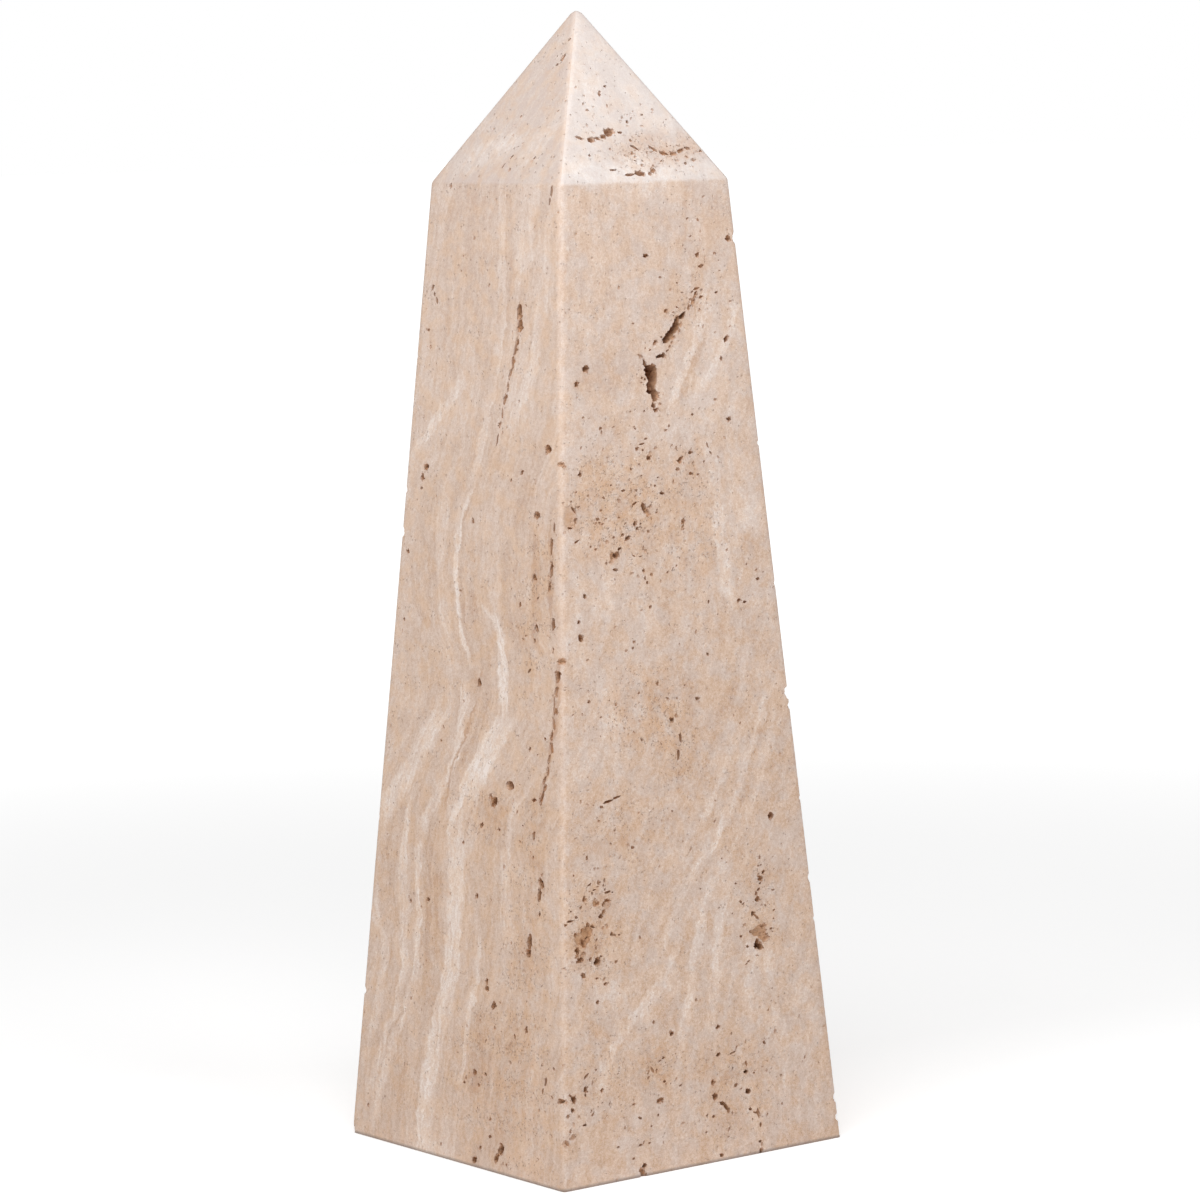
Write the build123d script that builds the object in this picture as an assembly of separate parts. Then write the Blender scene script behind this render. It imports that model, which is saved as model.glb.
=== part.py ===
"""Tabletop obelisk carved from one block of open-pored travertine.

Millimetres, +Z up, origin at the centre of the foot's underside.
The front face looks along -Y and the left face along -X.
"""
from build123d import *
from math import atan, cos, radians, sin
import os

# The shaft and its point, as a mason sets them out
BASE_WIDTH = 96.0        # square of the foot
SHOULDER_WIDTH = 57.5    # square where the shaft ends and the point begins
SHOULDER_HEIGHT = 260.0  # foot to shoulder
POINT_HEIGHT = 307.0     # foot to where the four sloping faces would meet

# Honed edges
ARRIS_RADIUS = 2.0       # rounding of every edge above the foot
FOOT_EASE = 0.6          # small flat that breaks the edge round the foot

# Voids in the stone
VOID_SIDES = 9           # flat sides that follow a void's ragged mouth
MOUTH_LIFT = 0.8         # how far a cutter stands out of the face it cuts
FLOOR_SHARE = 0.45       # a void's floor as a share of its mouth
CHIP_SINK = 0.35         # how deep a chip goes past the rounded arris, as a share of its width
CHIP_FLARE = 1.6         # how much wider a chip's cutter is than the chip it leaves
ARRIS_GAP = 2 ** 0.5 - 1 # from a sharp corner to its rounding, as a share of the radius

# Each void: place across the face (-1 to 1), place up it (0 to 1), then length, width and
# depth in mm, and the lean of its long way in degrees from level
FRONT_VOIDS = [
    # the great open seam below the shoulder: lower limb, link, upper limb, tail
    (-0.08, 0.798, 13.0, 3.8, 6.0, 100),
    (0.11, 0.826, 5.0, 1.9, 3.0, 8),
    (0.16, 0.852, 9.5, 3.2, 5.0, 62),
    (0.39, 0.875, 10.0, 2.2, 3.5, 32),
    (-0.74, 0.817, 2.4, 2.0, 2.0, 20),
    (0.74, 0.836, 3.0, 1.4, 1.6, 15),
    # hollows on the upper half
    (-0.20, 0.679, 5.4, 4.0, 2.6, 100),
    (-0.49, 0.629, 4.4, 3.8, 2.4, 40),
    (-0.91, 0.667, 6.0, 3.0, 0.9, 80),
    (0.15, 0.713, 3.2, 2.0, 2.2, 70),
    (-0.83, 0.549, 2.6, 1.9, 2.0, 90),
    (0.00, 0.428, 7.0, 1.6, 3.0, 96),
    (-0.62, 0.384, 9.0, 1.1, 2.0, 75),
    # hollows on the lower half
    (0.71, 0.345, 2.4, 2.0, 2.0, 90),
    (0.59, 0.288, 5.5, 1.5, 2.4, 80),
    (-0.83, 0.253, 6.4, 5.0, 1.6, 110),
    (0.55, 0.222, 6.4, 5.0, 3.6, 60),
    (0.09, 0.065, 4.6, 1.9, 2.2, 20),
    (0.20, 0.056, 3.6, 1.8, 2.2, -25),
    (0.36, 0.073, 2.4, 1.9, 2.0, 0),
    (-0.85, 0.100, 4.6, 2.0, 2.0, 100),
    (-0.32, 0.075, 2.2, 1.6, 1.6, 10),
]
LEFT_VOIDS = [
    # an open seam that runs down from the shoulder
    (0.45, 0.867, 7.5, 2.2, 3.2, 100),
    (0.37, 0.822, 4.6, 1.5, 2.2, 75),
    (0.26, 0.779, 5.4, 1.6, 2.4, 84),
    (-0.79, 0.890, 5.4, 1.3, 2.0, 92),
    (-0.73, 0.708, 2.8, 2.0, 2.0, 40),
    # an open seam beside the front arris
    (0.83, 0.736, 3.2, 2.0, 2.0, 50),
    (0.91, 0.660, 7.0, 1.4, 2.2, 88),
    (0.90, 0.618, 6.0, 1.3, 2.0, 92),
    (0.71, 0.669, 2.7, 2.0, 2.0, 90),
    (0.90, 0.564, 4.4, 1.2, 2.0, 88),
    (0.72, 0.558, 2.8, 1.4, 2.0, 90),
    (0.92, 0.514, 5.5, 1.7, 2.4, 94),
    (0.85, 0.433, 11.0, 0.9, 2.0, 80),
    # hollows on the lower half
    (0.08, 0.495, 2.8, 1.2, 1.8, 90),
    (0.45, 0.395, 2.8, 2.2, 2.2, 120),
    (0.28, 0.374, 3.2, 3.0, 2.4, 30),
    (0.15, 0.351, 2.4, 2.1, 1.8, 60),
    (0.78, 0.299, 6.5, 2.0, 2.6, 84),
    (0.66, 0.238, 7.5, 2.3, 3.0, 92),
    (0.32, 0.169, 3.4, 2.0, 2.2, 80),
    (0.83, 0.104, 5.5, 1.4, 2.2, 92),
    (0.42, 0.024, 6.5, 2.2, 2.6, 68),
]
POINT_FRONT_VOIDS = [
    (-0.33, 0.272, 5.4, 2.4, 2.0, 25),
    (-0.64, 0.245, 3.0, 1.8, 1.6, 10),
    (-0.07, 0.045, 8.0, 1.6, 1.4, 2),
]
POINT_LEFT_VOIDS = [
    (0.50, 0.690, 3.0, 1.9, 1.4, 60),
    (0.15, 0.309, 2.0, 1.3, 1.2, 80),
]

# The right and back faces are out of sight: each has voids spread as such stone has them
HIDDEN_COUNT = 9
HIDDEN_LENGTH = (2.6, 8.0)   # shortest and longest
HIDDEN_WIDTH = (1.3, 3.2)
HIDDEN_DEPTH = (1.6, 3.4)
GOLDEN_SHARE = 0.618034      # spreads places with no two close together

# Chips knocked off the arrises: turn of the arris about Z, place up the shaft, length, width
ARRIS_CHIPS = [
    (90, 0.940, 4.0, 2.2),
    (90, 0.466, 4.5, 2.4),
    (90, 0.277, 3.2, 1.8),
    (90, 0.040, 4.0, 2.6),
    (-90, 0.640, 3.6, 2.0),
    (-90, 0.012, 3.4, 2.6),
    (180, 0.350, 3.8, 2.2),
]


def square(width, height):
    """A level square across the stone."""
    return Plane.XY.offset(height) * Rectangle(width, width)


def dressed_block():
    """The shaft and point with every edge honed round and the foot's edge eased."""
    foot = square(BASE_WIDTH, 0)
    shoulder = square(SHOULDER_WIDTH, SHOULDER_HEIGHT)
    shaft = loft([foot, shoulder], ruled=True)
    point = loft([shoulder, Vertex(0, 0, POINT_HEIGHT)], ruled=True)
    block = shaft + point
    arrises = [e for e in block.edges() if e.center().Z > 0.001]
    block = fillet(arrises, ARRIS_RADIUS)
    foot_edges = [e for e in block.edges() if max(v.Z for v in e.vertices()) < 0.001]
    return chamfer(foot_edges, FOOT_EASE)


def half_width(height):
    """Half the stone's width at a height on the shaft or the point."""
    if height <= SHOULDER_HEIGHT:
        share = height / SHOULDER_HEIGHT
        return (BASE_WIDTH + (SHOULDER_WIDTH - BASE_WIDTH) * share) / 2
    share = (POINT_HEIGHT - height) / (POINT_HEIGHT - SHOULDER_HEIGHT)
    return SHOULDER_WIDTH * share / 2


def face_spot(turn, across, height):
    """A place on a sloping face, its X level and its Z outwards.

    A turn of 0 is the front face, and -90 the left one.
    """
    if height <= SHOULDER_HEIGHT:
        slope = atan((BASE_WIDTH - SHOULDER_WIDTH) / 2 / SHOULDER_HEIGHT)
    else:
        slope = atan(SHOULDER_WIDTH / 2 / (POINT_HEIGHT - SHOULDER_HEIGHT))
    reach = half_width(height)
    face = Plane(
        origin=(across * reach, -reach, height),
        x_dir=(1, 0, 0),
        z_dir=(0, -cos(slope), sin(slope)),
    )
    return Rot(0, 0, turn) * face.location


def void_outline(length, width, twist):
    """A closed outline with ragged sides that fills length by width."""
    corners = []
    for side in range(VOID_SIDES):
        angle = radians(360 * side / VOID_SIDES)
        ragged = 1 + 0.13 * sin(2 * angle + twist) + 0.10 * sin(3 * angle - 2 * twist)
        corners.append((length / 2 * ragged * cos(angle), width / 2 * ragged * sin(angle)))
    return make_face(Polyline(*corners, close=True))


def void_cutter(length, width, depth, twist):
    """What is missing where a void opens: wide at the mouth, narrow at the floor."""
    steep = (1 - FLOOR_SHARE) / depth
    mouth_share = 1 + steep * MOUTH_LIFT
    mouth = void_outline(length * mouth_share, width * mouth_share, twist)
    floor = void_outline(length * FLOOR_SHARE, width * FLOOR_SHARE, twist)
    return loft([Pos(0, 0, MOUTH_LIFT) * mouth, Pos(0, 0, -depth) * floor], ruled=True)


def face_cutters(turn, low, high, voids):
    """The cutters of one sloping face that runs from height low to height high."""
    cutters = []
    for number, (across, up, length, width, depth, lean) in enumerate(voids):
        spot = face_spot(turn, across, low + (high - low) * up)
        cutters.append(spot * Rot(0, 0, lean) * void_cutter(length, width, depth, number))
    return cutters


def spread(limits, share):
    """The value at a share of the way between two limits."""
    return limits[0] + (limits[1] - limits[0]) * share


def hidden_voids(start):
    """Voids for a face that is out of sight, in even steps up it and scattered across."""
    voids = []
    for number in range(HIDDEN_COUNT):
        scatter = (start + GOLDEN_SHARE * (number + 1)) % 1
        other = (start + scatter * 7) % 1
        voids.append((
            1.6 * scatter - 0.8,
            (number + 0.3 + 0.4 * other) / HIDDEN_COUNT,
            spread(HIDDEN_LENGTH, other),
            spread(HIDDEN_WIDTH, scatter),
            spread(HIDDEN_DEPTH, other),
            70 + 40 * scatter,
        ))
    return voids


def chip_cutters():
    """Shallow scoops out of the shaft's arrises, each square to the corner."""
    cutters = []
    for number, (turn, up, length, width) in enumerate(ARRIS_CHIPS):
        height = up * SHOULDER_HEIGHT
        reach = half_width(height)
        corner = Plane(origin=(-reach, -reach, height), x_dir=(0, 0, 1), z_dir=(-1, -1, 0))
        depth = ARRIS_RADIUS * ARRIS_GAP + width * CHIP_SINK
        scoop = void_cutter(length, width * CHIP_FLARE, depth, number)
        cutters.append(Rot(0, 0, turn) * corner.location * scoop)
    return cutters


def stone_obelisk():
    """The dressed block with its voids and chips cut in one pass."""
    shaft = (0, SHOULDER_HEIGHT)
    point = (SHOULDER_HEIGHT, POINT_HEIGHT)
    cutters = face_cutters(0, *shaft, FRONT_VOIDS)
    cutters += face_cutters(-90, *shaft, LEFT_VOIDS)
    cutters += face_cutters(0, *point, POINT_FRONT_VOIDS)
    cutters += face_cutters(-90, *point, POINT_LEFT_VOIDS)
    cutters += face_cutters(90, *shaft, hidden_voids(0.15))
    cutters += face_cutters(180, *shaft, hidden_voids(0.55))
    cutters += chip_cutters()
    return dressed_block() - cutters


os.makedirs("parts", exist_ok=True)
stone = stone_obelisk()
stone.label = "stone_obelisk"
export_step(stone, "parts/stone_obelisk.step")
print("stone_obelisk", len(stone.solids()), "solid,", round(stone.volume / 1e6, 3), "litres")
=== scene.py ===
# %% [markdown]
# # A tabletop obelisk in open-pored travertine
# The object is one block of stone, about 305 mm tall. It was sawn to a tapering square shaft
# with a short pyramid on top, its edges were rubbed round, and its faces were honed flat but
# left unfilled, so the natural voids of the stone stay open. The form takes a few moves. What
# makes it travertine is the stone itself: wavy cream veins, seams that lie open, and swarms of
# fine pores. This lesson spends most of its steps there.
#
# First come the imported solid, which gives the true size, and a few helpers.

# %% Load the frame and note its size
import bmesh
import bpy
from math import atan, cos, pi, radians, sin, sqrt
from mathutils import Euler, Matrix, Vector
from mathutils.bvhtree import BVHTree
from random import Random


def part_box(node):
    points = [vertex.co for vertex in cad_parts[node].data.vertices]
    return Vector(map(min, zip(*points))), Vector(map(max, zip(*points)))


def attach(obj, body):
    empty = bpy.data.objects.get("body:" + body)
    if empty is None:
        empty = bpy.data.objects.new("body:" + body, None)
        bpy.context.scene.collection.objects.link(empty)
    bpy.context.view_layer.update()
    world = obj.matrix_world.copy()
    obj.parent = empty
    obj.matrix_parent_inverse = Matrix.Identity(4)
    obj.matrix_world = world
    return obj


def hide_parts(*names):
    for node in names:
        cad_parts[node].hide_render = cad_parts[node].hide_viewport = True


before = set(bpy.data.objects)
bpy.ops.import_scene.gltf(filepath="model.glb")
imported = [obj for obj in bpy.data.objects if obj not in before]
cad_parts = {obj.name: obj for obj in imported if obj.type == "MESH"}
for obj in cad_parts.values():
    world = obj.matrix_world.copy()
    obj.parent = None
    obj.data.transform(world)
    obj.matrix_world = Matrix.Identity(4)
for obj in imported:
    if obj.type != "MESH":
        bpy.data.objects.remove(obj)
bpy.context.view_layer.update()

MM = 0.001
NODE = "stone_obelisk"
low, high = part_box(NODE)
print("the solid is", [round(side / MM, 1) for side in high - low], "mm")

# %% [markdown]
# The mason's own sizes give the shape: the square of the foot, the square of the shoulder, and
# two heights. The foot is checked against the solid, so a slip shows at once. Everything is kept
# in millimetres here and turned to metres where a tool wants them.

# %% Sizes of the stone, in millimetres
FOOT = 96.0
SHOULDER = 57.5
SHOULDER_UP = 260.0
POINT_UP = 307.0
ROUND = 2.0
EASE = 0.6
SHAFT_SLOPE = atan((FOOT - SHOULDER) / 2 / SHOULDER_UP)
POINT_SLOPE = atan(SHOULDER / 2 / (POINT_UP - SHOULDER_UP))
print("foot off by", round((high - low).x / MM - FOOT, 2), "mm before its edge is eased")

# %% [markdown]
# Operators work on what is selected, so each step of modelling by hand is: pick some faces,
# edges or points by where they are, then move, extrude or bevel them. This helper does the
# picking. It clears the old selection first, because an operator takes all that is selected.

# %% Pick parts of a mesh by a test
def pick(piece, kind, test):
    bpy.ops.mesh.select_mode(type=kind)
    bpy.ops.mesh.select_all(action="DESELECT")
    shape = bmesh.from_edit_mesh(piece.data)
    parts = {"VERT": shape.verts, "EDGE": shape.edges, "FACE": shape.faces}[kind]
    chosen = [part for part in parts if test(part)]
    for part in chosen:
        part.select_set(True)
    bmesh.update_edit_mesh(piece.data)
    return len(chosen)


def alone(piece):
    bpy.ops.object.select_all(action="DESELECT")
    piece.select_set(True)
    bpy.context.view_layer.objects.active = piece


def apply_all(piece):
    alone(piece)
    for modifier in list(piece.modifiers):
        bpy.ops.object.modifier_apply(modifier=modifier.name)

# %% [markdown]
# ## The dressed block
# The block starts as a cube that stands on the floor. Its top face is drawn in to the
# shoulder, extruded to the point and merged to one corner. A loft between curves would give
# the same faces, but this is how the stone is sawn: straight cuts from a squared block.

# %% Saw the shaft and the point
bpy.ops.object.select_all(action="DESELECT")
bpy.ops.mesh.primitive_cube_add(size=SHOULDER_UP * MM, location=(0, 0, SHOULDER_UP * MM / 2))
stone = bpy.context.object
stone.name = "travertine_block"
stone.scale = (FOOT / SHOULDER_UP, FOOT / SHOULDER_UP, 1)
bpy.ops.object.transform_apply(location=True, rotation=True, scale=True)
bpy.ops.object.mode_set(mode="EDIT")
pick(stone, "FACE", lambda face: face.normal.z > 0.9)
bpy.ops.transform.resize(value=(SHOULDER / FOOT, SHOULDER / FOOT, 1))
bpy.ops.mesh.extrude_region_move(
    TRANSFORM_OT_translate={"value": (0, 0, (POINT_UP - SHOULDER_UP) * MM)}
)
bpy.ops.mesh.merge(type="CENTER")
print("corners after sawing:", len(bmesh.from_edit_mesh(stone.data).verts))

# %% [markdown]
# The edges are rubbed round by hand with the same pad, so they share one radius and not one
# width. A bevel is set by its width: the radius times the tangent of half the turn between the
# two faces. Each kind of edge therefore gets its own bevel weight: the long arrises turn by
# about 90 degrees, the hips of the point by 74, the shoulder by only 27.

# %% Round the edges, each kind with its own bevel weight
def edge_turn(edge):
    return edge.calc_face_angle(0)


def top_of(edge):
    return max(corner.co.z for corner in edge.verts)


def weigh(piece, test, weight):
    count = pick(piece, "EDGE", test)
    bpy.ops.transform.edge_bevelweight(value=weight)
    return count


turns = sorted({round(edge_turn(edge), 3) for edge in bmesh.from_edit_mesh(stone.data).edges})
edges = {}
for turn in turns:
    share_of_radius = sin(turn / 2) / cos(turn / 2)
    edges[round(turn * 180 / pi, 1)] = weigh(
        stone,
        lambda edge: abs(edge_turn(edge) - turn) < 0.002 and top_of(edge) > MM,
        min(share_of_radius, 1.0),
    )
edges["foot"] = weigh(stone, lambda edge: top_of(edge) < MM, EASE / ROUND)
bpy.ops.object.mode_set(mode="OBJECT")
rounding = stone.modifiers.new("rubbed edges", "BEVEL")
rounding.limit_method = "WEIGHT"
rounding.width = ROUND * MM
rounding.segments = 5
apply_all(stone)
bpy.ops.object.mode_set(mode="EDIT")
print("edges by their turn in degrees:", edges)
print("tip at", round(max(v.co.z for v in bmesh.from_edit_mesh(stone.data).verts) / MM, 2), "mm")

# %% [markdown]
# Long thin triangles shade badly once hundreds of pores are cut, and later on soft patches of
# tone are stored on the mesh's points. Cuts with a plane, called bisect, lay a grid of extra
# edges over the block first. They change nothing in the shape.

# %% Lay a grid over the faces
GRID = 4.0
LINES = int(FOOT / 2 / GRID)
bpy.ops.mesh.select_mode(type="FACE")
for step in range(1, int(POINT_UP / GRID)):
    bpy.ops.mesh.select_all(action="SELECT")
    bpy.ops.mesh.bisect(plane_co=(0, 0, step * GRID * MM), plane_no=(0, 0, 1))
for step in range(1 - LINES, LINES):
    for side in ((1, 0, 0), (0, 1, 0)):
        bpy.ops.mesh.select_all(action="SELECT")
        bpy.ops.mesh.bisect(plane_co=Vector(side) * step * GRID * MM, plane_no=side)
bpy.ops.object.mode_set(mode="OBJECT")
print("faces before the voids:", len(stone.data.polygons))

# %% [markdown]
# ## Where a void sits
# Places are read on a face as a mason would chalk them: so many millimetres across from the
# middle line, so many up the slope from the foot or the shoulder. This function turns such a
# place into a point and a turn in space. Its X runs across, its Y up the slope and its Z out.

# %% From a place on a face to a place in space
TURNS = {"front": 0, "right": 90, "back": 180, "left": -90}


def on_face(face, across, up, sink=0.0):
    slope, reach, start = SHAFT_SLOPE, FOOT / 2, 0.0
    if face.startswith("point"):
        slope, reach, start = POINT_SLOPE, SHOULDER / 2, SHOULDER_UP
    turn = TURNS[face.replace("point ", "")]
    upright = Euler((pi / 2 - slope, 0, 0)).to_matrix().to_4x4()
    spin = Matrix.Rotation(radians(turn), 4, "Z")
    corner = Vector((0, -reach, start))
    spot = upright @ Vector((across, up, -sink))
    return spin @ Matrix.Translation((corner + spot) * MM) @ upright


print("the great seam opens at", [round(c / MM) for c in on_face("front", 0, 215).translation])

# %% [markdown]
# ## Voids and pores
# A void in travertine is where a reed or a gas bubble left a gap in the growing stone: ragged,
# longer than wide, with small crystals on its walls. Three sets of six ragged lumps are modelled
# by hand from icospheres: grains, beads and caves, each set finer than the one before. Every
# void is cut by a copy of one, turned and stretched. Booleans are used and not displacement,
# because real voids undercut the face and have a sharp mouth.

# %% Model the ragged lumps that cut the voids
def ragged_lump(name, fineness, roughness, seed):
    bpy.ops.object.select_all(action="DESELECT")
    bpy.ops.mesh.primitive_ico_sphere_add(subdivisions=fineness, radius=1.0)
    lump = bpy.context.object
    lump.name = name
    bpy.ops.object.mode_set(mode="EDIT")
    bpy.ops.mesh.select_all(action="SELECT")
    bpy.ops.transform.vertex_random(offset=roughness, uniform=0.6, normal=0.4, seed=seed)
    bpy.ops.object.mode_set(mode="OBJECT")
    return lump


GRAINS = [ragged_lump(f"grain_{seed}", 1, 0.32, seed) for seed in range(6)]
BEADS = [ragged_lump(f"bead_{seed}", 2, 0.22, seed) for seed in range(6)]
CAVES = [ragged_lump(f"cave_{seed}", 3, 0.13, seed) for seed in range(6)]
for lump in (GRAINS[0], BEADS[0], CAVES[0]):
    print(lump.name, "has", len(lump.data.polygons), "faces")

# %% [markdown]
# Cutting once with many copies joined in one mesh is far quicker than one cut each. The quick
# solver wants the copies of one cut clear of each other, so each new copy goes to the first
# tray where it touches nothing. A place is remembered by its centre and reach, with some room
# for the spikes of a ragged lump.

# %% Trays of cutters that don't touch each other
ROOM_FOR_SPIKES = 1.25
trays = []


def lay_in_tray(piece, centre, reach):
    for tray in trays:
        if all((centre - other).length > reach + far for other, far, _ in tray):
            tray.append((centre, reach, piece))
            return
    trays.append([(centre, reach, piece)])


def cut_void(lumps, pick_at, face, across, up, length, width, depth, lean, sink=0.0):
    lump = lumps[pick_at % len(lumps)]
    piece = lump.copy()
    piece.data = lump.data.copy()
    bpy.context.scene.collection.objects.link(piece)
    size = Matrix.Diagonal((length / 2 * MM, width / 2 * MM, depth * MM, 1))
    place = on_face(face, across, up, sink) @ Matrix.Rotation(radians(lean), 4, "Z") @ size
    piece.data.transform(place)
    reach = max(length / 2, width / 2, depth) * MM * ROOM_FOR_SPIKES
    lay_in_tray(piece, place.translation.copy(), reach)

# %% [markdown]
# Each tray's cutters are joined and taken out of the block in one Boolean cut. The cutting is
# done twice, first for the chips and then for the voids, so it is a function.

# %% Cut the trays out of the block
def cut_trays():
    for count, tray in enumerate(trays):
        bpy.ops.object.select_all(action="DESELECT")
        for _, _, piece in tray:
            piece.select_set(True)
        bpy.context.view_layer.objects.active = tray[0][2]
        if len(tray) > 1:
            bpy.ops.object.join()
        cutters = bpy.context.object
        cut = stone.modifiers.new(f"tray {count}", "BOOLEAN")
        cut.operation = "DIFFERENCE"
        cut.solver = "MANIFOLD"
        cut.object = cutters
        apply_all(stone)
        bpy.data.objects.remove(cutters)
        print("tray", count, "leaves", len(stone.data.polygons), "faces")
    trays.clear()

# %% [markdown]
# Stone breaks along its arrises. The chips come first, set on the sharp corner where two faces
# would meet, and they notch the stone's outline. A chip shows clean stone and a void shows raw
# brown stone, so a copy of the block is kept now, before the voids. The depth of each point
# under that copy is measured later, and it tells the material what is void.

# %% Chips on the arrises
# Each row: face, which end of it, up, length, width, depth
CHIPS = (
    ("front", 1, 122.4, 4.2, 4.6, 2.3), ("front", 1, 118.8, 2.2, 3.6, 1.6),
    ("front", 1, 245.0, 3.6, 3.8, 1.7), ("front", 1, 71.6, 2.6, 3.6, 1.7),
    ("front", 1, 11.0, 3.0, 4.0, 1.8), ("front", 1, 5.6, 2.8, 3.6, 1.8),
    ("front", 1, 93.5, 1.6, 2.8, 1.3), ("front", 1, 60.5, 1.8, 3.0, 1.4),
    ("front", 1, 190.0, 1.6, 2.8, 1.3), ("front", 1, 152.0, 2.0, 3.0, 1.3),
    ("left", -1, 166.5, 3.6, 4.4, 2.2), ("left", -1, 1.0, 4.0, 4.2, 2.2),
    ("left", -1, 88.0, 1.8, 2.8, 1.4), ("left", -1, 214.0, 1.6, 2.6, 1.2),
    ("back", 1, 40.0, 2.6, 3.4, 1.7), ("back", -1, 90.0, 3.2, 3.8, 1.9),
    ("back", 1, 178.0, 2.0, 3.0, 1.4), ("back", -1, 226.0, 1.8, 2.8, 1.3),
)
UPRIGHT = 90
CHIP_SINK = 0.35
for number, (face, end, up, length, width, depth) in enumerate(CHIPS):
    corner = FOOT / 2 - up * sin(SHAFT_SLOPE)
    cut_void(CAVES, number, face, end * corner, up, length, width, depth, UPRIGHT, CHIP_SINK)
cut_trays()
alone(stone)
bpy.ops.object.duplicate()
uncut = bpy.context.object
print("chips:", len(CHIPS))

# %% [markdown]
# The voids that catch the eye are placed one by one. On the front a great seam opens below the
# shoulder in two limbs that nearly meet. The left face is cut across the stone's layers, so its
# voids stand in upright chains, one beside another where a layer has parted. A wide void gets
# three crumbs broken from its rim, so that its mouth isn't a smooth oval.

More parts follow.
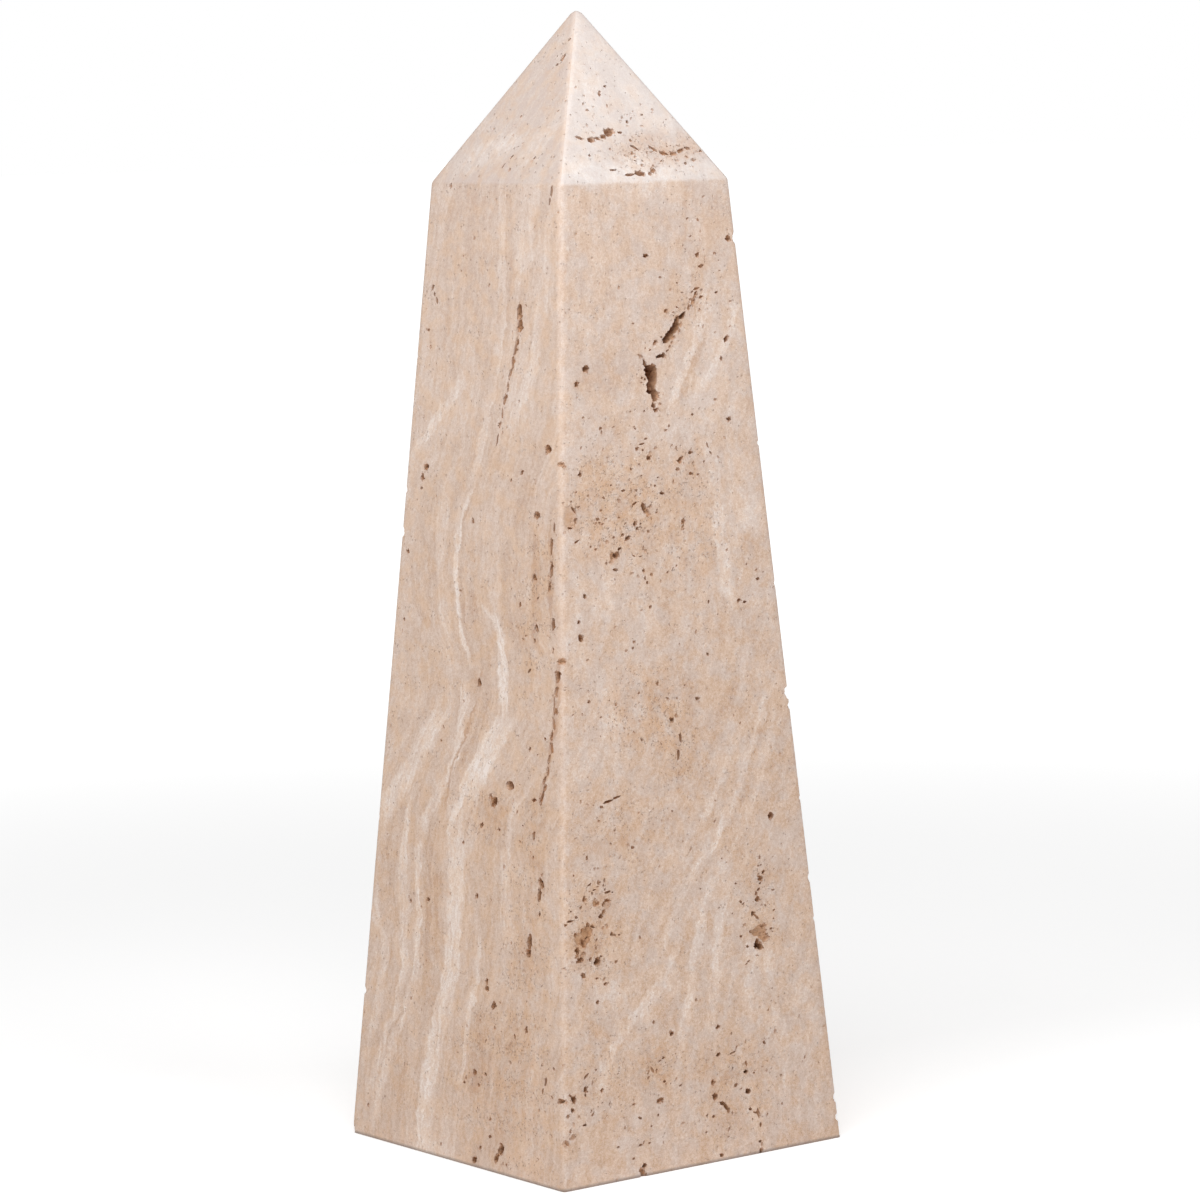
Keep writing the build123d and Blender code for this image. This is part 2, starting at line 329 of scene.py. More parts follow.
# %% The voids that show, one by one
# Each row: across, up, length, width, depth, lean from level in degrees
SEEN_VOIDS = {
    "front": (
        # small voids beside the front arris
        (-34.0, 188.6, 1.5, 2.2, 1.5, 90), (-37.8, 137.6, 2.0, 2.8, 1.9, 90),
        (-46.2, 23.4, 2.0, 2.4, 1.2, 90), (-45.5, 33.0, 1.2, 1.8, 1.0, 90),
        (-47.0, 12.6, 1.4, 2.2, 1.1, 90), (-43.6, 58.0, 1.0, 1.6, 0.9, 90),
        # the great seam: its lower limb
        (-2.2, 210.0, 6.4, 3.2, 5.0, 92), (-2.4, 207.4, 5.4, 2.5, 5.0, 84),
        (-1.7, 204.8, 3.8, 2.1, 4.5, 100), (-1.4, 211.4, 2.6, 2.0, 4.0, 100),
        (-3.6, 211.7, 2.4, 1.6, 3.5, 60), (-4.4, 213.3, 2.6, 1.0, 2.5, 105),
        (-5.6, 215.2, 1.8, 0.9, 0.5, 150), (-2.3, 202.0, 2.0, 1.1, 2.0, 110),
        (-1.5, 200.8, 1.8, 1.0, 1.0, 30), (-0.6, 204.6, 1.5, 1.2, 0.9, 80),
        (-0.2, 202.3, 1.0, 0.9, 0.4, 0), (-5.6, 209.5, 0.9, 0.7, 0.6, 0),
        (-4.6, 209.1, 0.9, 0.7, 0.6, 0), (-5.8, 208.3, 0.8, 0.5, 0.4, 0),
        # the link between its limbs
        (1.0, 214.9, 2.9, 0.9, 2.2, 8), (2.2, 215.1, 1.5, 1.3, 1.8, 60),
        (-0.3, 218.7, 1.4, 1.1, 1.0, 30), (-2.3, 216.7, 0.8, 0.6, 0.4, 0),
        (-3.9, 217.2, 0.7, 0.6, 0.3, 0),
        # its upper limb and tail
        (3.6, 219.3, 3.4, 1.9, 4.0, 30), (4.9, 220.5, 3.4, 1.8, 4.0, 45),
        (6.8, 222.4, 3.8, 2.2, 4.5, 62), (7.6, 224.0, 2.6, 1.3, 3.5, 70),
        (9.5, 225.3, 2.8, 1.2, 2.6, 38), (11.7, 227.2, 1.7, 1.0, 0.7, 60),
        (13.2, 228.7, 2.1, 1.2, 0.8, 50), (12.3, 229.3, 1.0, 0.7, 0.4, 50),
        (14.2, 230.4, 2.0, 1.1, 0.8, 60), (16.0, 229.8, 1.8, 0.8, 0.8, 20),
        (14.6, 232.1, 2.2, 0.7, 0.6, 10), (13.1, 231.3, 1.2, 0.6, 0.5, 30),
        (16.4, 231.7, 1.0, 0.5, 0.4, 0), (8.5, 222.8, 1.6, 0.9, 0.5, 70),
        (5.8, 219.4, 1.6, 0.9, 0.7, 50), (5.2, 218.2, 1.4, 0.8, 0.5, 60),
        (4.4, 217.2, 1.3, 0.7, 0.5, 60), (3.5, 216.2, 1.4, 0.6, 0.5, 30),
        (7.9, 221.2, 1.2, 0.9, 0.6, 60),
        # pores scattered about it
        (3.8, 226.7, 1.5, 1.0, 0.8, 20), (6.3, 226.2, 0.9, 0.5, 0.4, 0),
        (7.6, 227.5, 1.0, 0.5, 0.5, -15), (1.8, 219.9, 0.8, 0.6, 0.5, -30),
        (8.2, 233.9, 1.0, 0.4, 0.4, -10), (9.8, 231.3, 1.0, 0.4, 0.3, 0),
        (2.6, 235.6, 1.1, 0.6, 0.5, -10), (21.4, 230.8, 1.3, 0.7, 0.9, 5),
        (16.2, 222.0, 1.4, 0.5, 0.4, 75), (18.8, 202.5, 1.2, 0.8, 0.4, 0),
        (10.7, 199.0, 0.9, 0.7, 0.7, -30), (2.5, 196.4, 0.9, 0.7, 0.6, 50),
        (-8.9, 196.4, 1.0, 0.6, 0.5, -30), (-10.2, 200.9, 0.8, 0.6, 0.4, 0),
        (-5.5, 200.8, 0.8, 0.6, 0.5, -40), (-7.4, 223.9, 1.0, 0.5, 0.4, 0),
        (-24.0, 213.0, 2.3, 1.5, 1.8, 10), (-27.5, 209.0, 1.7, 1.2, 1.6, 60),
        (23.8, 218.3, 2.2, 1.3, 1.6, 40), (21.8, 213.2, 1.3, 0.9, 0.9, 60),
        (23.2, 197.0, 1.6, 1.2, 1.4, 0),
        # the loose patch below it
        (9.2, 189.0, 1.6, 1.0, 0.9, 0), (5.6, 187.2, 2.4, 1.3, 1.0, 50),
        (4.6, 184.8, 1.6, 0.9, 0.7, 10), (15.2, 190.6, 1.8, 0.6, 0.6, 110),
        (16.2, 188.4, 1.4, 0.6, 0.6, 120), (9.0, 183.4, 1.8, 0.8, 0.7, -10),
        (11.4, 183.0, 1.0, 0.6, 0.5, 0), (-5.0, 188.4, 1.8, 1.1, 1.3, 5),
        (-4.4, 189.7, 1.5, 0.9, 0.4, 60), (-8.7, 191.0, 1.5, 0.9, 0.7, 40),
        (-7.0, 192.2, 2.0, 0.6, 0.6, 5), (-6.8, 190.6, 1.0, 0.6, 0.5, -20),
        (-5.6, 193.5, 1.3, 0.5, 0.5, 5), (-11.1, 185.9, 0.9, 0.8, 0.6, 0),
        (-8.3, 187.0, 0.9, 0.5, 0.4, 0), (-28.0, 185.5, 1.4, 1.1, 1.1, 60),
        (-14.2, 180.4, 1.5, 0.7, 0.8, 0), (-9.8, 180.2, 0.9, 0.6, 0.5, 30),
        (-1.2, 178.9, 1.7, 0.8, 0.9, -15), (-3.4, 181.0, 0.8, 0.7, 0.6, 0),
        (-4.7, 181.2, 0.6, 0.5, 0.4, 0), (-2.3, 183.1, 0.9, 0.4, 0.4, 10),
        (-7.8, 183.9, 0.9, 0.4, 0.4, 10), (-18.1, 182.1, 0.8, 0.6, 0.5, 0),
        (-20.8, 179.0, 1.1, 0.6, 0.5, -40), (-16.0, 178.2, 0.8, 0.6, 0.5, 0),
        (-23.2, 173.6, 1.4, 0.8, 0.7, -10), (-22.0, 175.8, 1.0, 0.8, 0.4, 0),
        (-20.5, 173.5, 1.0, 0.5, 0.4, 0), (-22.7, 172.6, 1.0, 0.5, 0.5, 10),
        (-7.6, 175.5, 3.2, 1.4, 1.7, 112), (-6.5, 174.1, 2.4, 1.2, 0.7, 110),
        (-5.4, 175.7, 1.3, 0.8, 0.5, 70), (-10.6, 176.8, 2.1, 0.6, 0.7, 25),
        (-11.4, 176.2, 1.0, 0.5, 0.6, 60), (-11.0, 171.4, 1.7, 1.1, 1.1, 60),
        (-10.3, 170.2, 1.3, 0.8, 0.7, 30), (-9.1, 171.4, 0.8, 0.6, 0.5, 0),
        (-6.6, 169.2, 1.2, 0.8, 0.5, -30), (-13.7, 167.9, 2.4, 1.0, 1.1, 25),
        (-17.6, 163.8, 1.9, 1.6, 1.6, 60), (-16.6, 165.3, 1.7, 0.8, 1.0, 20),
        (-19.0, 163.6, 2.4, 1.7, 0.8, 100), (-19.5, 162.2, 1.6, 1.0, 0.4, 20),
        (-21.2, 161.9, 0.9, 0.8, 0.6, 0), (-18.4, 160.0, 1.9, 0.8, 0.7, -10),
        (-9.0, 159.0, 1.0, 0.9, 0.9, 0), (-13.0, 158.6, 1.8, 0.7, 0.3, 10),
        (-8.0, 155.8, 0.9, 0.8, 0.8, 30), (-26.1, 166.6, 0.8, 0.6, 0.5, 0),
        (-24.5, 165.8, 1.0, 0.6, 0.6, -10), (-30.6, 168.2, 2.0, 0.6, 0.8, 22),
        (-32.4, 174.8, 6.6, 4.6, 0.45, 90), (-30.9, 176.6, 2.6, 0.6, 1.0, -55),
        (-30.3, 173.6, 1.6, 0.6, 0.8, 70), (-32.4, 171.9, 1.9, 0.6, 0.9, -5),
        (-34.3, 170.8, 1.3, 0.8, 0.5, 60), (-0.9, 158.0, 1.1, 0.5, 0.5, 40),
        (0.8, 158.6, 1.6, 0.4, 0.4, 50), (2.2, 159.4, 0.9, 0.6, 0.4, 30),
        (-8.6, 165.0, 1.4, 0.6, 0.4, 80), (-12.0, 163.2, 1.4, 0.4, 0.4, -25),
        (-9.8, 162.8, 1.0, 0.4, 0.4, -10), (5.4, 170.8, 1.8, 1.2, 0.9, 20),
        (5.0, 169.2, 1.6, 1.0, 0.5, 60), (-8.6, 157.0, 1.4, 0.7, 0.7, 90),
        # the middle of the face, and a few that were found later
        (-31.5, 147.4, 1.1, 1.0, 1.0, 0), (-31.2, 143.0, 2.0, 1.5, 1.7, 100),
        (6.5, 123.8, 1.4, 0.9, 1.1, 0), (0.0, 114.0, 3.0, 0.9, 1.2, 92),
        (-1.0, 109.5, 3.0, 1.0, 1.6, 80), (-2.6, 119.0, 1.6, 1.1, 1.2, 0),
        (-25.5, 99.8, 3.6, 0.7, 1.0, 8), (-22.6, 100.6, 3.0, 0.6, 0.8, 10),
        (-27.8, 98.6, 1.4, 0.7, 0.8, -20), (29.4, 90.0, 2.2, 1.6, 1.9, 20),
        (-9.0, 36.2, 1.6, 1.1, 1.2, 20), (6.8, 36.0, 1.4, 1.2, 1.2, 0),
        (26.6, 245.0, 1.8, 1.6, 1.4, 40), (15.6, 241.0, 1.6, 1.1, 1.0, 30),
        (16.8, 238.0, 2.0, 0.9, 0.9, 20), (-1.8, 241.4, 2.0, 1.0, 1.2, 5),
        (12.4, 149.0, 1.2, 0.8, 0.8, 60), (22.8, 148.6, 1.6, 1.0, 1.1, 20),
        (24.8, 148.0, 1.4, 0.7, 0.8, 0), (-29.0, 153.8, 1.4, 1.0, 1.0, 60),
        (29.8, 153.8, 1.4, 0.8, 0.9, 0), (3.4, 12.4, 1.0, 0.8, 0.9, 0),
        # the hollow beside the front arris
        (-35.0, 66.4, 3.8, 3.2, 1.0, 70), (-37.8, 65.2, 3.6, 3.0, 0.6, 110),
        (-36.2, 63.6, 2.2, 1.2, 1.6, 80), (-38.7, 62.2, 1.8, 1.2, 1.4, 90),
        (-38.9, 60.8, 1.6, 1.0, 0.8, 60), (-38.0, 59.6, 2.6, 1.3, 1.3, 15),
        (-37.2, 61.0, 2.0, 1.2, 0.5, 30), (-34.6, 59.4, 1.6, 0.8, 0.8, 60),
        (-32.3, 58.7, 2.1, 1.8, 2.0, 30), (-31.0, 59.8, 1.0, 0.5, 0.5, 0),
        (-37.2, 55.4, 1.7, 1.2, 1.1, -20), (-32.8, 54.2, 1.2, 0.6, 0.5, 0),
        (-30.2, 52.4, 1.3, 0.9, 0.8, 0), (-26.2, 57.7, 1.3, 0.8, 0.6, 30),
        (-33.2, 67.9, 1.6, 0.8, 0.6, -40), (-30.3, 70.2, 1.3, 1.2, 1.6, 60),
        (-29.4, 71.2, 1.8, 0.9, 0.9, 50), (-28.0, 73.0, 2.6, 2.0, 0.4, 40),
        (-31.9, 74.0, 2.0, 1.6, 0.6, 60), (-35.4, 75.4, 1.9, 1.0, 1.0, 80),
        (-40.4, 70.1, 2.2, 0.6, 0.8, 0), (-41.8, 69.2, 1.0, 0.8, 0.8, 20),
        (-38.4, 70.9, 1.1, 0.7, 0.8, -20), (-40.0, 72.6, 0.8, 0.5, 0.5, 0),
        (-33.4, 78.8, 1.6, 0.6, 0.5, 20), (-32.0, 77.3, 1.4, 0.4, 0.5, 10),
        (-32.7, 76.5, 1.0, 0.6, 0.5, 100), (-30.4, 79.0, 1.2, 0.9, 0.5, 40),
        (-28.4, 79.4, 1.3, 0.6, 0.6, 70), (-28.8, 78.2, 1.0, 0.5, 0.5, 60),
        (-27.6, 76.2, 2.4, 0.7, 0.7, 5), (-28.4, 77.0, 1.0, 0.6, 0.5, 60),
        (-26.0, 76.0, 0.7, 0.5, 0.4, 0), (-27.0, 65.2, 1.2, 0.9, 0.8, -30),
        (-26.2, 64.8, 1.4, 0.5, 0.5, -30), (-24.6, 64.6, 0.9, 0.5, 0.5, 0),
        (-32.2, 64.2, 1.1, 0.6, 0.5, 45), (-38.4, 81.8, 0.8, 0.6, 0.5, 0),
        (-42.8, 80.4, 0.8, 0.6, 0.5, 0),
        # the hollow beside the right arris
        (22.8, 59.7, 5.6, 2.4, 0.9, 5), (24.8, 61.0, 1.4, 1.0, 0.7, 80),
        (24.0, 58.2, 3.6, 2.0, 0.9, -20), (25.2, 57.3, 2.6, 1.4, 0.9, 20),
        (22.0, 56.6, 2.6, 1.5, 3.2, 75), (22.9, 55.4, 1.9, 1.8, 3.0, 100),
        (21.4, 55.6, 1.2, 1.0, 2.2, 0), (20.0, 59.8, 1.4, 0.8, 0.8, -20),
        (27.1, 59.8, 1.1, 0.7, 0.6, -10), (16.5, 59.0, 1.1, 0.8, 0.7, -30),
        (18.6, 56.0, 1.1, 0.8, 0.8, -20), (18.6, 52.0, 1.2, 0.5, 0.5, 10),
        (17.8, 51.4, 1.0, 0.4, 0.4, 20), (21.6, 53.2, 1.0, 0.5, 0.3, 0),
        (21.1, 64.6, 1.4, 1.2, 1.8, 20), (22.2, 63.6, 2.4, 0.8, 0.8, -45),
        (23.1, 68.2, 1.7, 1.4, 1.2, 20), (22.7, 69.8, 1.4, 0.8, 0.9, 90),
        (23.6, 70.8, 1.4, 0.7, 0.7, 30), (24.6, 73.6, 1.6, 1.4, 1.3, 40),
        (24.3, 72.4, 0.9, 0.6, 0.6, 0), (25.6, 75.3, 1.2, 1.0, 1.1, 0),
        (24.0, 77.1, 1.0, 0.5, 0.5, 0), (24.9, 77.2, 0.8, 0.4, 0.4, 0),
        (24.6, 79.3, 1.2, 0.7, 0.6, 90), (28.6, 70.1, 1.2, 0.5, 0.5, 0),
        (17.2, 68.2, 1.2, 0.7, 0.8, -40), (18.0, 67.6, 1.2, 0.5, 0.5, 20),
        (15.8, 73.3, 0.9, 0.5, 0.5, 0), (28.5, 64.6, 1.0, 0.6, 0.4, 20),
        (28.2, 62.4, 0.7, 0.5, 0.4, 0), (25.6, 66.3, 1.0, 0.5, 0.4, -30),
        # the foot, on the left
        (-38.9, 25.8, 2.0, 1.2, 1.4, 80), (-39.0, 24.3, 1.2, 0.7, 1.0, 90),
        (-38.4, 29.2, 2.6, 0.7, 0.8, 40), (-42.8, 23.6, 2.2, 1.4, 1.8, 80),
        (-43.8, 24.8, 1.8, 0.6, 0.8, -35), (-43.4, 21.0, 1.1, 1.0, 1.4, 0),
        (-39.6, 16.6, 0.9, 0.7, 1.0, -20), (-37.0, 18.9, 1.2, 0.8, 0.5, 30),
        (-44.0, 13.8, 2.2, 1.2, 0.5, 20), (-31.2, 21.0, 1.4, 0.4, 0.4, 60),
        # the foot, in the middle and on the right
        (-14.4, 19.4, 2.8, 1.2, 1.0, 15), (-15.3, 15.6, 0.9, 0.7, 0.7, 60),
        (-12.5, 24.1, 1.0, 0.8, 0.7, 0), (-16.4, 27.8, 2.2, 0.8, 0.6, -60),
        (-17.8, 25.9, 1.2, 0.6, 0.5, 50), (-12.4, 30.4, 1.0, 0.7, 0.6, 0),
        (-13.6, 29.8, 1.2, 0.4, 0.4, 10), (-7.2, 22.3, 1.4, 0.5, 0.5, 10),
        (-21.4, 15.7, 1.6, 0.7, 0.7, -30), (-17.8, 13.0, 0.8, 0.6, 0.6, -30),
        (-21.8, 8.6, 1.5, 0.6, 0.7, 0), (-18.8, 8.7, 1.0, 0.5, 0.4, 0),
        (-24.4, 5.4, 1.0, 0.7, 0.5, 0), (-29.3, 9.2, 1.0, 0.6, 0.5, 0),
        (-20.8, 3.0, 1.6, 1.1, 2.0, 20), (-21.6, 1.0, 1.8, 2.4, 1.6, 0),
        (-7.2, 12.2, 1.6, 0.8, 0.3, 10), (6.4, 28.6, 1.5, 0.9, 1.1, 35),
        (11.2, 28.4, 2.6, 0.5, 0.5, 15), (12.6, 29.6, 1.4, 0.5, 0.5, 60),
        (3.8, 21.4, 1.4, 1.1, 1.0, 30), (4.4, 17.6, 1.9, 1.6, 1.8, 60),
        (6.8, 15.4, 2.4, 1.0, 1.6, -20), (8.0, 14.2, 2.8, 1.1, 1.5, -50),
        (8.6, 13.0, 1.2, 0.8, 0.8, -40), (9.9, 12.4, 1.0, 0.6, 0.5, 90),
        (15.4, 22.7, 1.5, 1.1, 1.8, -10), (15.8, 24.6, 1.4, 0.6, 0.6, 80),
        (15.9, 17.3, 1.9, 1.4, 1.8, -20), (16.2, 12.5, 1.3, 0.8, 0.8, -30),
        (17.6, 11.4, 1.6, 0.5, 0.5, -30), (18.8, 11.0, 2.8, 1.0, 1.0, 100),
        (19.4, 7.8, 1.5, 0.8, 0.9, 90), (18.9, 3.3, 1.2, 0.8, 1.2, 0),
        (19.0, 0.8, 1.2, 1.4, 1.2, 0), (5.4, 1.7, 1.4, 1.0, 1.0, 0),
        (18.2, 22.0, 0.9, 0.5, 0.4, -20), (13.4, 18.4, 1.2, 0.4, 0.4, 20),
        (8.4, 8.2, 1.6, 0.6, 0.4, 55), (8.0, 6.2, 1.0, 0.6, 0.3, 0),
        (0.6, 8.6, 1.0, 0.5, 0.5, 10), (1.2, 13.0, 1.0, 0.5, 0.4, 30),
        (22.4, 29.6, 1.4, 0.8, 0.8, -50),
    ),
    "left": (
        # the seam that runs down from the shoulder
        (13.6, 227.6, 4.4, 2.0, 2.6, 95), (14.2, 223.8, 3.8, 1.9, 2.2, 82),
        (12.4, 217.0, 2.4, 1.2, 1.4, 70), (12.2, 214.4, 1.4, 0.9, 1.0, 90),
        (12.6, 218.4, 5.4, 0.9, 1.2, 76), (13.3, 219.4, 1.6, 1.2, 0.9, 20),
        (11.6, 214.2, 3.8, 0.9, 1.0, 90), (10.8, 211.2, 3.6, 1.0, 1.1, 66),
        (10.0, 207.6, 3.0, 0.8, 0.9, 92), (8.8, 204.2, 3.4, 1.3, 1.2, 64),
        (8.0, 200.6, 3.0, 0.8, 0.8, 90), (7.1, 197.6, 2.2, 0.9, 0.7, 60),
        (6.3, 193.6, 3.6, 0.6, 0.7, 78), (9.9, 207.6, 1.2, 0.8, 0.6, 130),
        # hollows on the upper half
        (-25.0, 232.8, 1.8, 0.9, 1.2, 80), (-24.2, 231.0, 1.6, 0.8, 1.1, 100),
        (-23.0, 229.4, 1.8, 0.9, 1.1, 110), (-26.2, 221.4, 1.3, 0.8, 0.8, 0),
        (28.2, 192.4, 2.4, 2.0, 1.8, 20), (33.8, 188.8, 1.6, 1.2, 0.9, 20),
        (-24.8, 184.6, 2.2, 1.7, 1.8, 20), (-26.4, 181.6, 1.9, 1.5, 1.5, 30),
        (-26.6, 178.8, 1.2, 0.8, 0.8, 0), (24.6, 174.8, 2.4, 1.9, 1.4, 70),
        (17.6, 185.6, 1.6, 0.9, 1.0, 60), (13.0, 183.2, 1.2, 0.8, 0.8, 90),
        # the chain beside the front arris
        (31.4, 167.0, 5.0, 1.1, 1.6, 92), (31.8, 161.0, 4.6, 1.2, 1.6, 90),
        (31.2, 156.6, 3.0, 1.0, 1.3, 86), (32.2, 172.0, 3.0, 0.8, 1.2, 88),
        (33.6, 147.0, 3.2, 1.3, 1.6, 88), (26.6, 145.4, 2.4, 1.2, 1.6, 110),
        (26.0, 142.0, 1.4, 0.8, 1.0, 90), (24.2, 134.0, 2.0, 0.7, 1.0, 45),
        (24.8, 158.6, 1.6, 1.5, 1.4, 0), (37.6, 137.8, 2.2, 1.1, 1.6, 0),
        (36.2, 133.6, 3.2, 1.8, 2.2, 100), (35.9, 129.6, 3.0, 1.3, 1.2, 80),
        (35.4, 125.8, 5.4, 0.8, 0.9, 93), (36.1, 124.6, 1.8, 1.4, 0.9, 20),
        (35.5, 121.2, 3.6, 1.1, 0.9, 102), (34.8, 118.0, 3.2, 1.0, 1.0, 78),
        (35.1, 114.8, 2.8, 1.2, 0.9, 98), (34.1, 111.8, 3.2, 0.9, 0.9, 72),
        (33.9, 108.6, 2.6, 1.0, 0.8, 92), (32.6, 106.2, 2.8, 0.9, 0.9, 64),
        (32.9, 104.2, 1.8, 1.3, 0.9, 60), (31.7, 101.2, 4.6, 1.1, 1.1, 70),
        # hollows on the lower half
        (2.8, 129.0, 2.6, 1.3, 1.7, 110), (18.0, 103.2, 2.7, 2.1, 2.2, 160),
        (11.2, 98.0, 3.2, 2.4, 2.2, 30), (9.6, 99.4, 1.8, 1.0, 1.0, 80),
        (6.2, 91.2, 1.6, 1.1, 1.2, 30), (14.0, 91.0, 1.2, 0.9, 0.9, 0),
        (28.4, 100.4, 1.8, 0.9, 1.2, 10), (29.0, 91.0, 2.8, 1.0, 1.4, 90),
        (33.0, 79.0, 3.2, 1.9, 2.2, 130), (32.4, 75.8, 3.6, 1.5, 2.0, 85),
        (32.8, 71.0, 1.6, 0.8, 1.0, 80), (29.0, 63.0, 4.4, 1.8, 2.4, 86),
        (28.8, 60.0, 2.2, 1.9, 2.2, 10), (-16.2, 68.6, 1.7, 1.1, 1.2, 20),
        (5.4, 72.2, 1.5, 1.2, 1.2, 0), (11.2, 50.2, 2.0, 1.1, 1.3, 90),
        (11.4, 48.4, 1.9, 1.3, 1.4, 0), (14.6, 44.2, 2.8, 1.5, 1.4, 50),
        (29.2, 40.0, 2.2, 0.9, 1.3, 80), (24.4, 37.4, 1.6, 0.8, 0.9, 110),
        (38.4, 27.6, 2.6, 1.0, 1.4, 75), (37.2, 25.0, 1.8, 0.8, 1.0, 80),
        (44.6, 23.6, 1.8, 1.3, 1.4, 20), (7.8, 25.4, 1.8, 1.3, 1.2, 10),
        (12.4, 25.6, 1.3, 0.8, 0.9, -20), (3.2, 22.0, 1.2, 0.7, 0.7, 0),
        (20.4, 6.6, 3.4, 2.0, 2.4, 50), (18.6, 4.0, 2.6, 1.6, 2.0, 60),
        (9.0, 2.0, 2.2, 1.6, 1.8, 0), (11.4, 5.8, 1.4, 0.9, 1.0, 60),
        (15.4, 9.4, 1.5, 0.8, 0.9, 10),
        # at the shoulder, and strays
        (25.2, 259.0, 3.2, 1.0, 1.6, 86), (24.6, 256.4, 2.2, 0.8, 1.2, 80),
        (-18.8, 260.0, 1.8, 0.9, 1.1, 90), (-3.0, 171.6, 1.8, 1.0, 1.1, 90),
        (-31.6, 161.4, 1.5, 1.1, 1.1, -30), (19.0, 151.0, 1.6, 0.7, 0.8, 80),
        (25.8, 113.6, 1.5, 0.8, 1.0, 60),
    ),
    "point front": (
        # the row of thin voids on the right
        (6.4, 10.0, 3.0, 0.9, 0.8, -40), (9.4, 8.6, 3.4, 1.1, 0.9, -15),
        (12.6, 8.4, 2.6, 1.2, 0.8, 10), (15.4, 9.2, 3.0, 1.0, 0.8, 25),
        (18.2, 9.8, 2.2, 0.9, 0.7, -10), (3.6, 3.4, 2.2, 1.3, 0.9, 15),
        # the large void on the left
        (-7.2, 15.6, 1.8, 1.1, 0.9, 60), (-10.6, 13.6, 2.0, 1.0, 0.9, -20),
        (-6.0, 15.4, 3.6, 2.0, 1.8, 30), (-8.4, 14.2, 2.2, 1.2, 1.2, 20),
        (-13.0, 13.2, 2.4, 1.6, 1.5, 10), (-16.6, 14.0, 2.6, 0.9, 1.0, -20),
        (-2.4, 15.2, 1.7, 0.8, 0.9, 0),
        # the seam along the shoulder, and strays
        (-1.0, 2.6, 3.8, 1.5, 1.5, -5), (-4.6, 2.4, 3.6, 0.8, 0.9, 2),
        (-9.6, 4.0, 2.6, 0.6, 0.7, 0), (2.2, 2.4, 1.4, 0.9, 0.9, 30),
        (-4.2, 27.0, 1.2, 0.9, 1.0, 0), (-1.4, 29.4, 1.0, 0.8, 0.8, 0),
        (0.4, 10.6, 3.4, 0.8, 0.9, -35), (-15.4, 8.6, 1.0, 0.7, 0.7, 60),
        (1.4, 18.4, 1.3, 0.8, 0.9, 60),
    ),
    "point left": (
        (5.0, 38.4, 2.0, 1.2, 1.0, 60), (3.9, 36.4, 1.2, 0.8, 0.8, 0),
        (4.2, 44.0, 1.2, 0.8, 0.7, 60), (2.6, 8.2, 1.8, 0.6, 0.8, 60),
        (0.8, 5.6, 1.8, 0.5, 0.7, 62), (12.6, 8.0, 1.2, 0.7, 0.8, 70),
    ),
}

# The hidden sides get some of the same voids, seen in a mirror
HIDDEN = {"back": SEEN_VOIDS["front"][6::11], "right": SEEN_VOIDS["left"][2::5]}
for face, rows in HIDDEN.items():
    SEEN_VOIDS[face] = [(-row[0], *row[1:5], -row[5]) for row in rows]
WIDER = 1.15  # a lump is narrower than its ball, so each void is cut a little wider
SINK_SHARE = 0.15  # how deep its middle lies under the face, so that the face overhangs it
crumble = Random(7)


def cut_ragged(number, face, across, up, length, width, depth, lean):
    """One void, and for a wide one three crumbs broken from its rim."""
    width *= WIDER
    lumps = CAVES if width > 1.5 else BEADS
    cut_void(lumps, number, face, across, up, length, width, depth, lean, depth * SINK_SHARE)
    for _ in range(3 if 1.0 < width < 4.0 else 0):
        turn = crumble.uniform(0, 2 * pi)
        aside = Vector((length * 0.44 * cos(turn), width * 0.46 * sin(turn)))
        aside.rotate(Matrix.Rotation(radians(lean), 2))
        crumb = width * crumble.uniform(0.3, 0.55)
        cut_void(BEADS, crumble.randrange(6), face, across + aside.x, up + aside.y,
                 crumb * crumble.uniform(1.0, 1.8), crumb, crumb * 0.8, crumble.uniform(0, 180))


number = 0
for face, rows in SEEN_VOIDS.items():
    for row in rows:
        cut_ragged(number, face, *row)
        number += 1
print("voids placed one by one:", number)

# %% [markdown]
# Fine pores come in swarms, where one layer of the stone grew loose. A swarm is an oval patch
# with a count. Inside it, each pore gets a chance place and size. The random numbers are
# seeded, so the stone comes out the same each time.

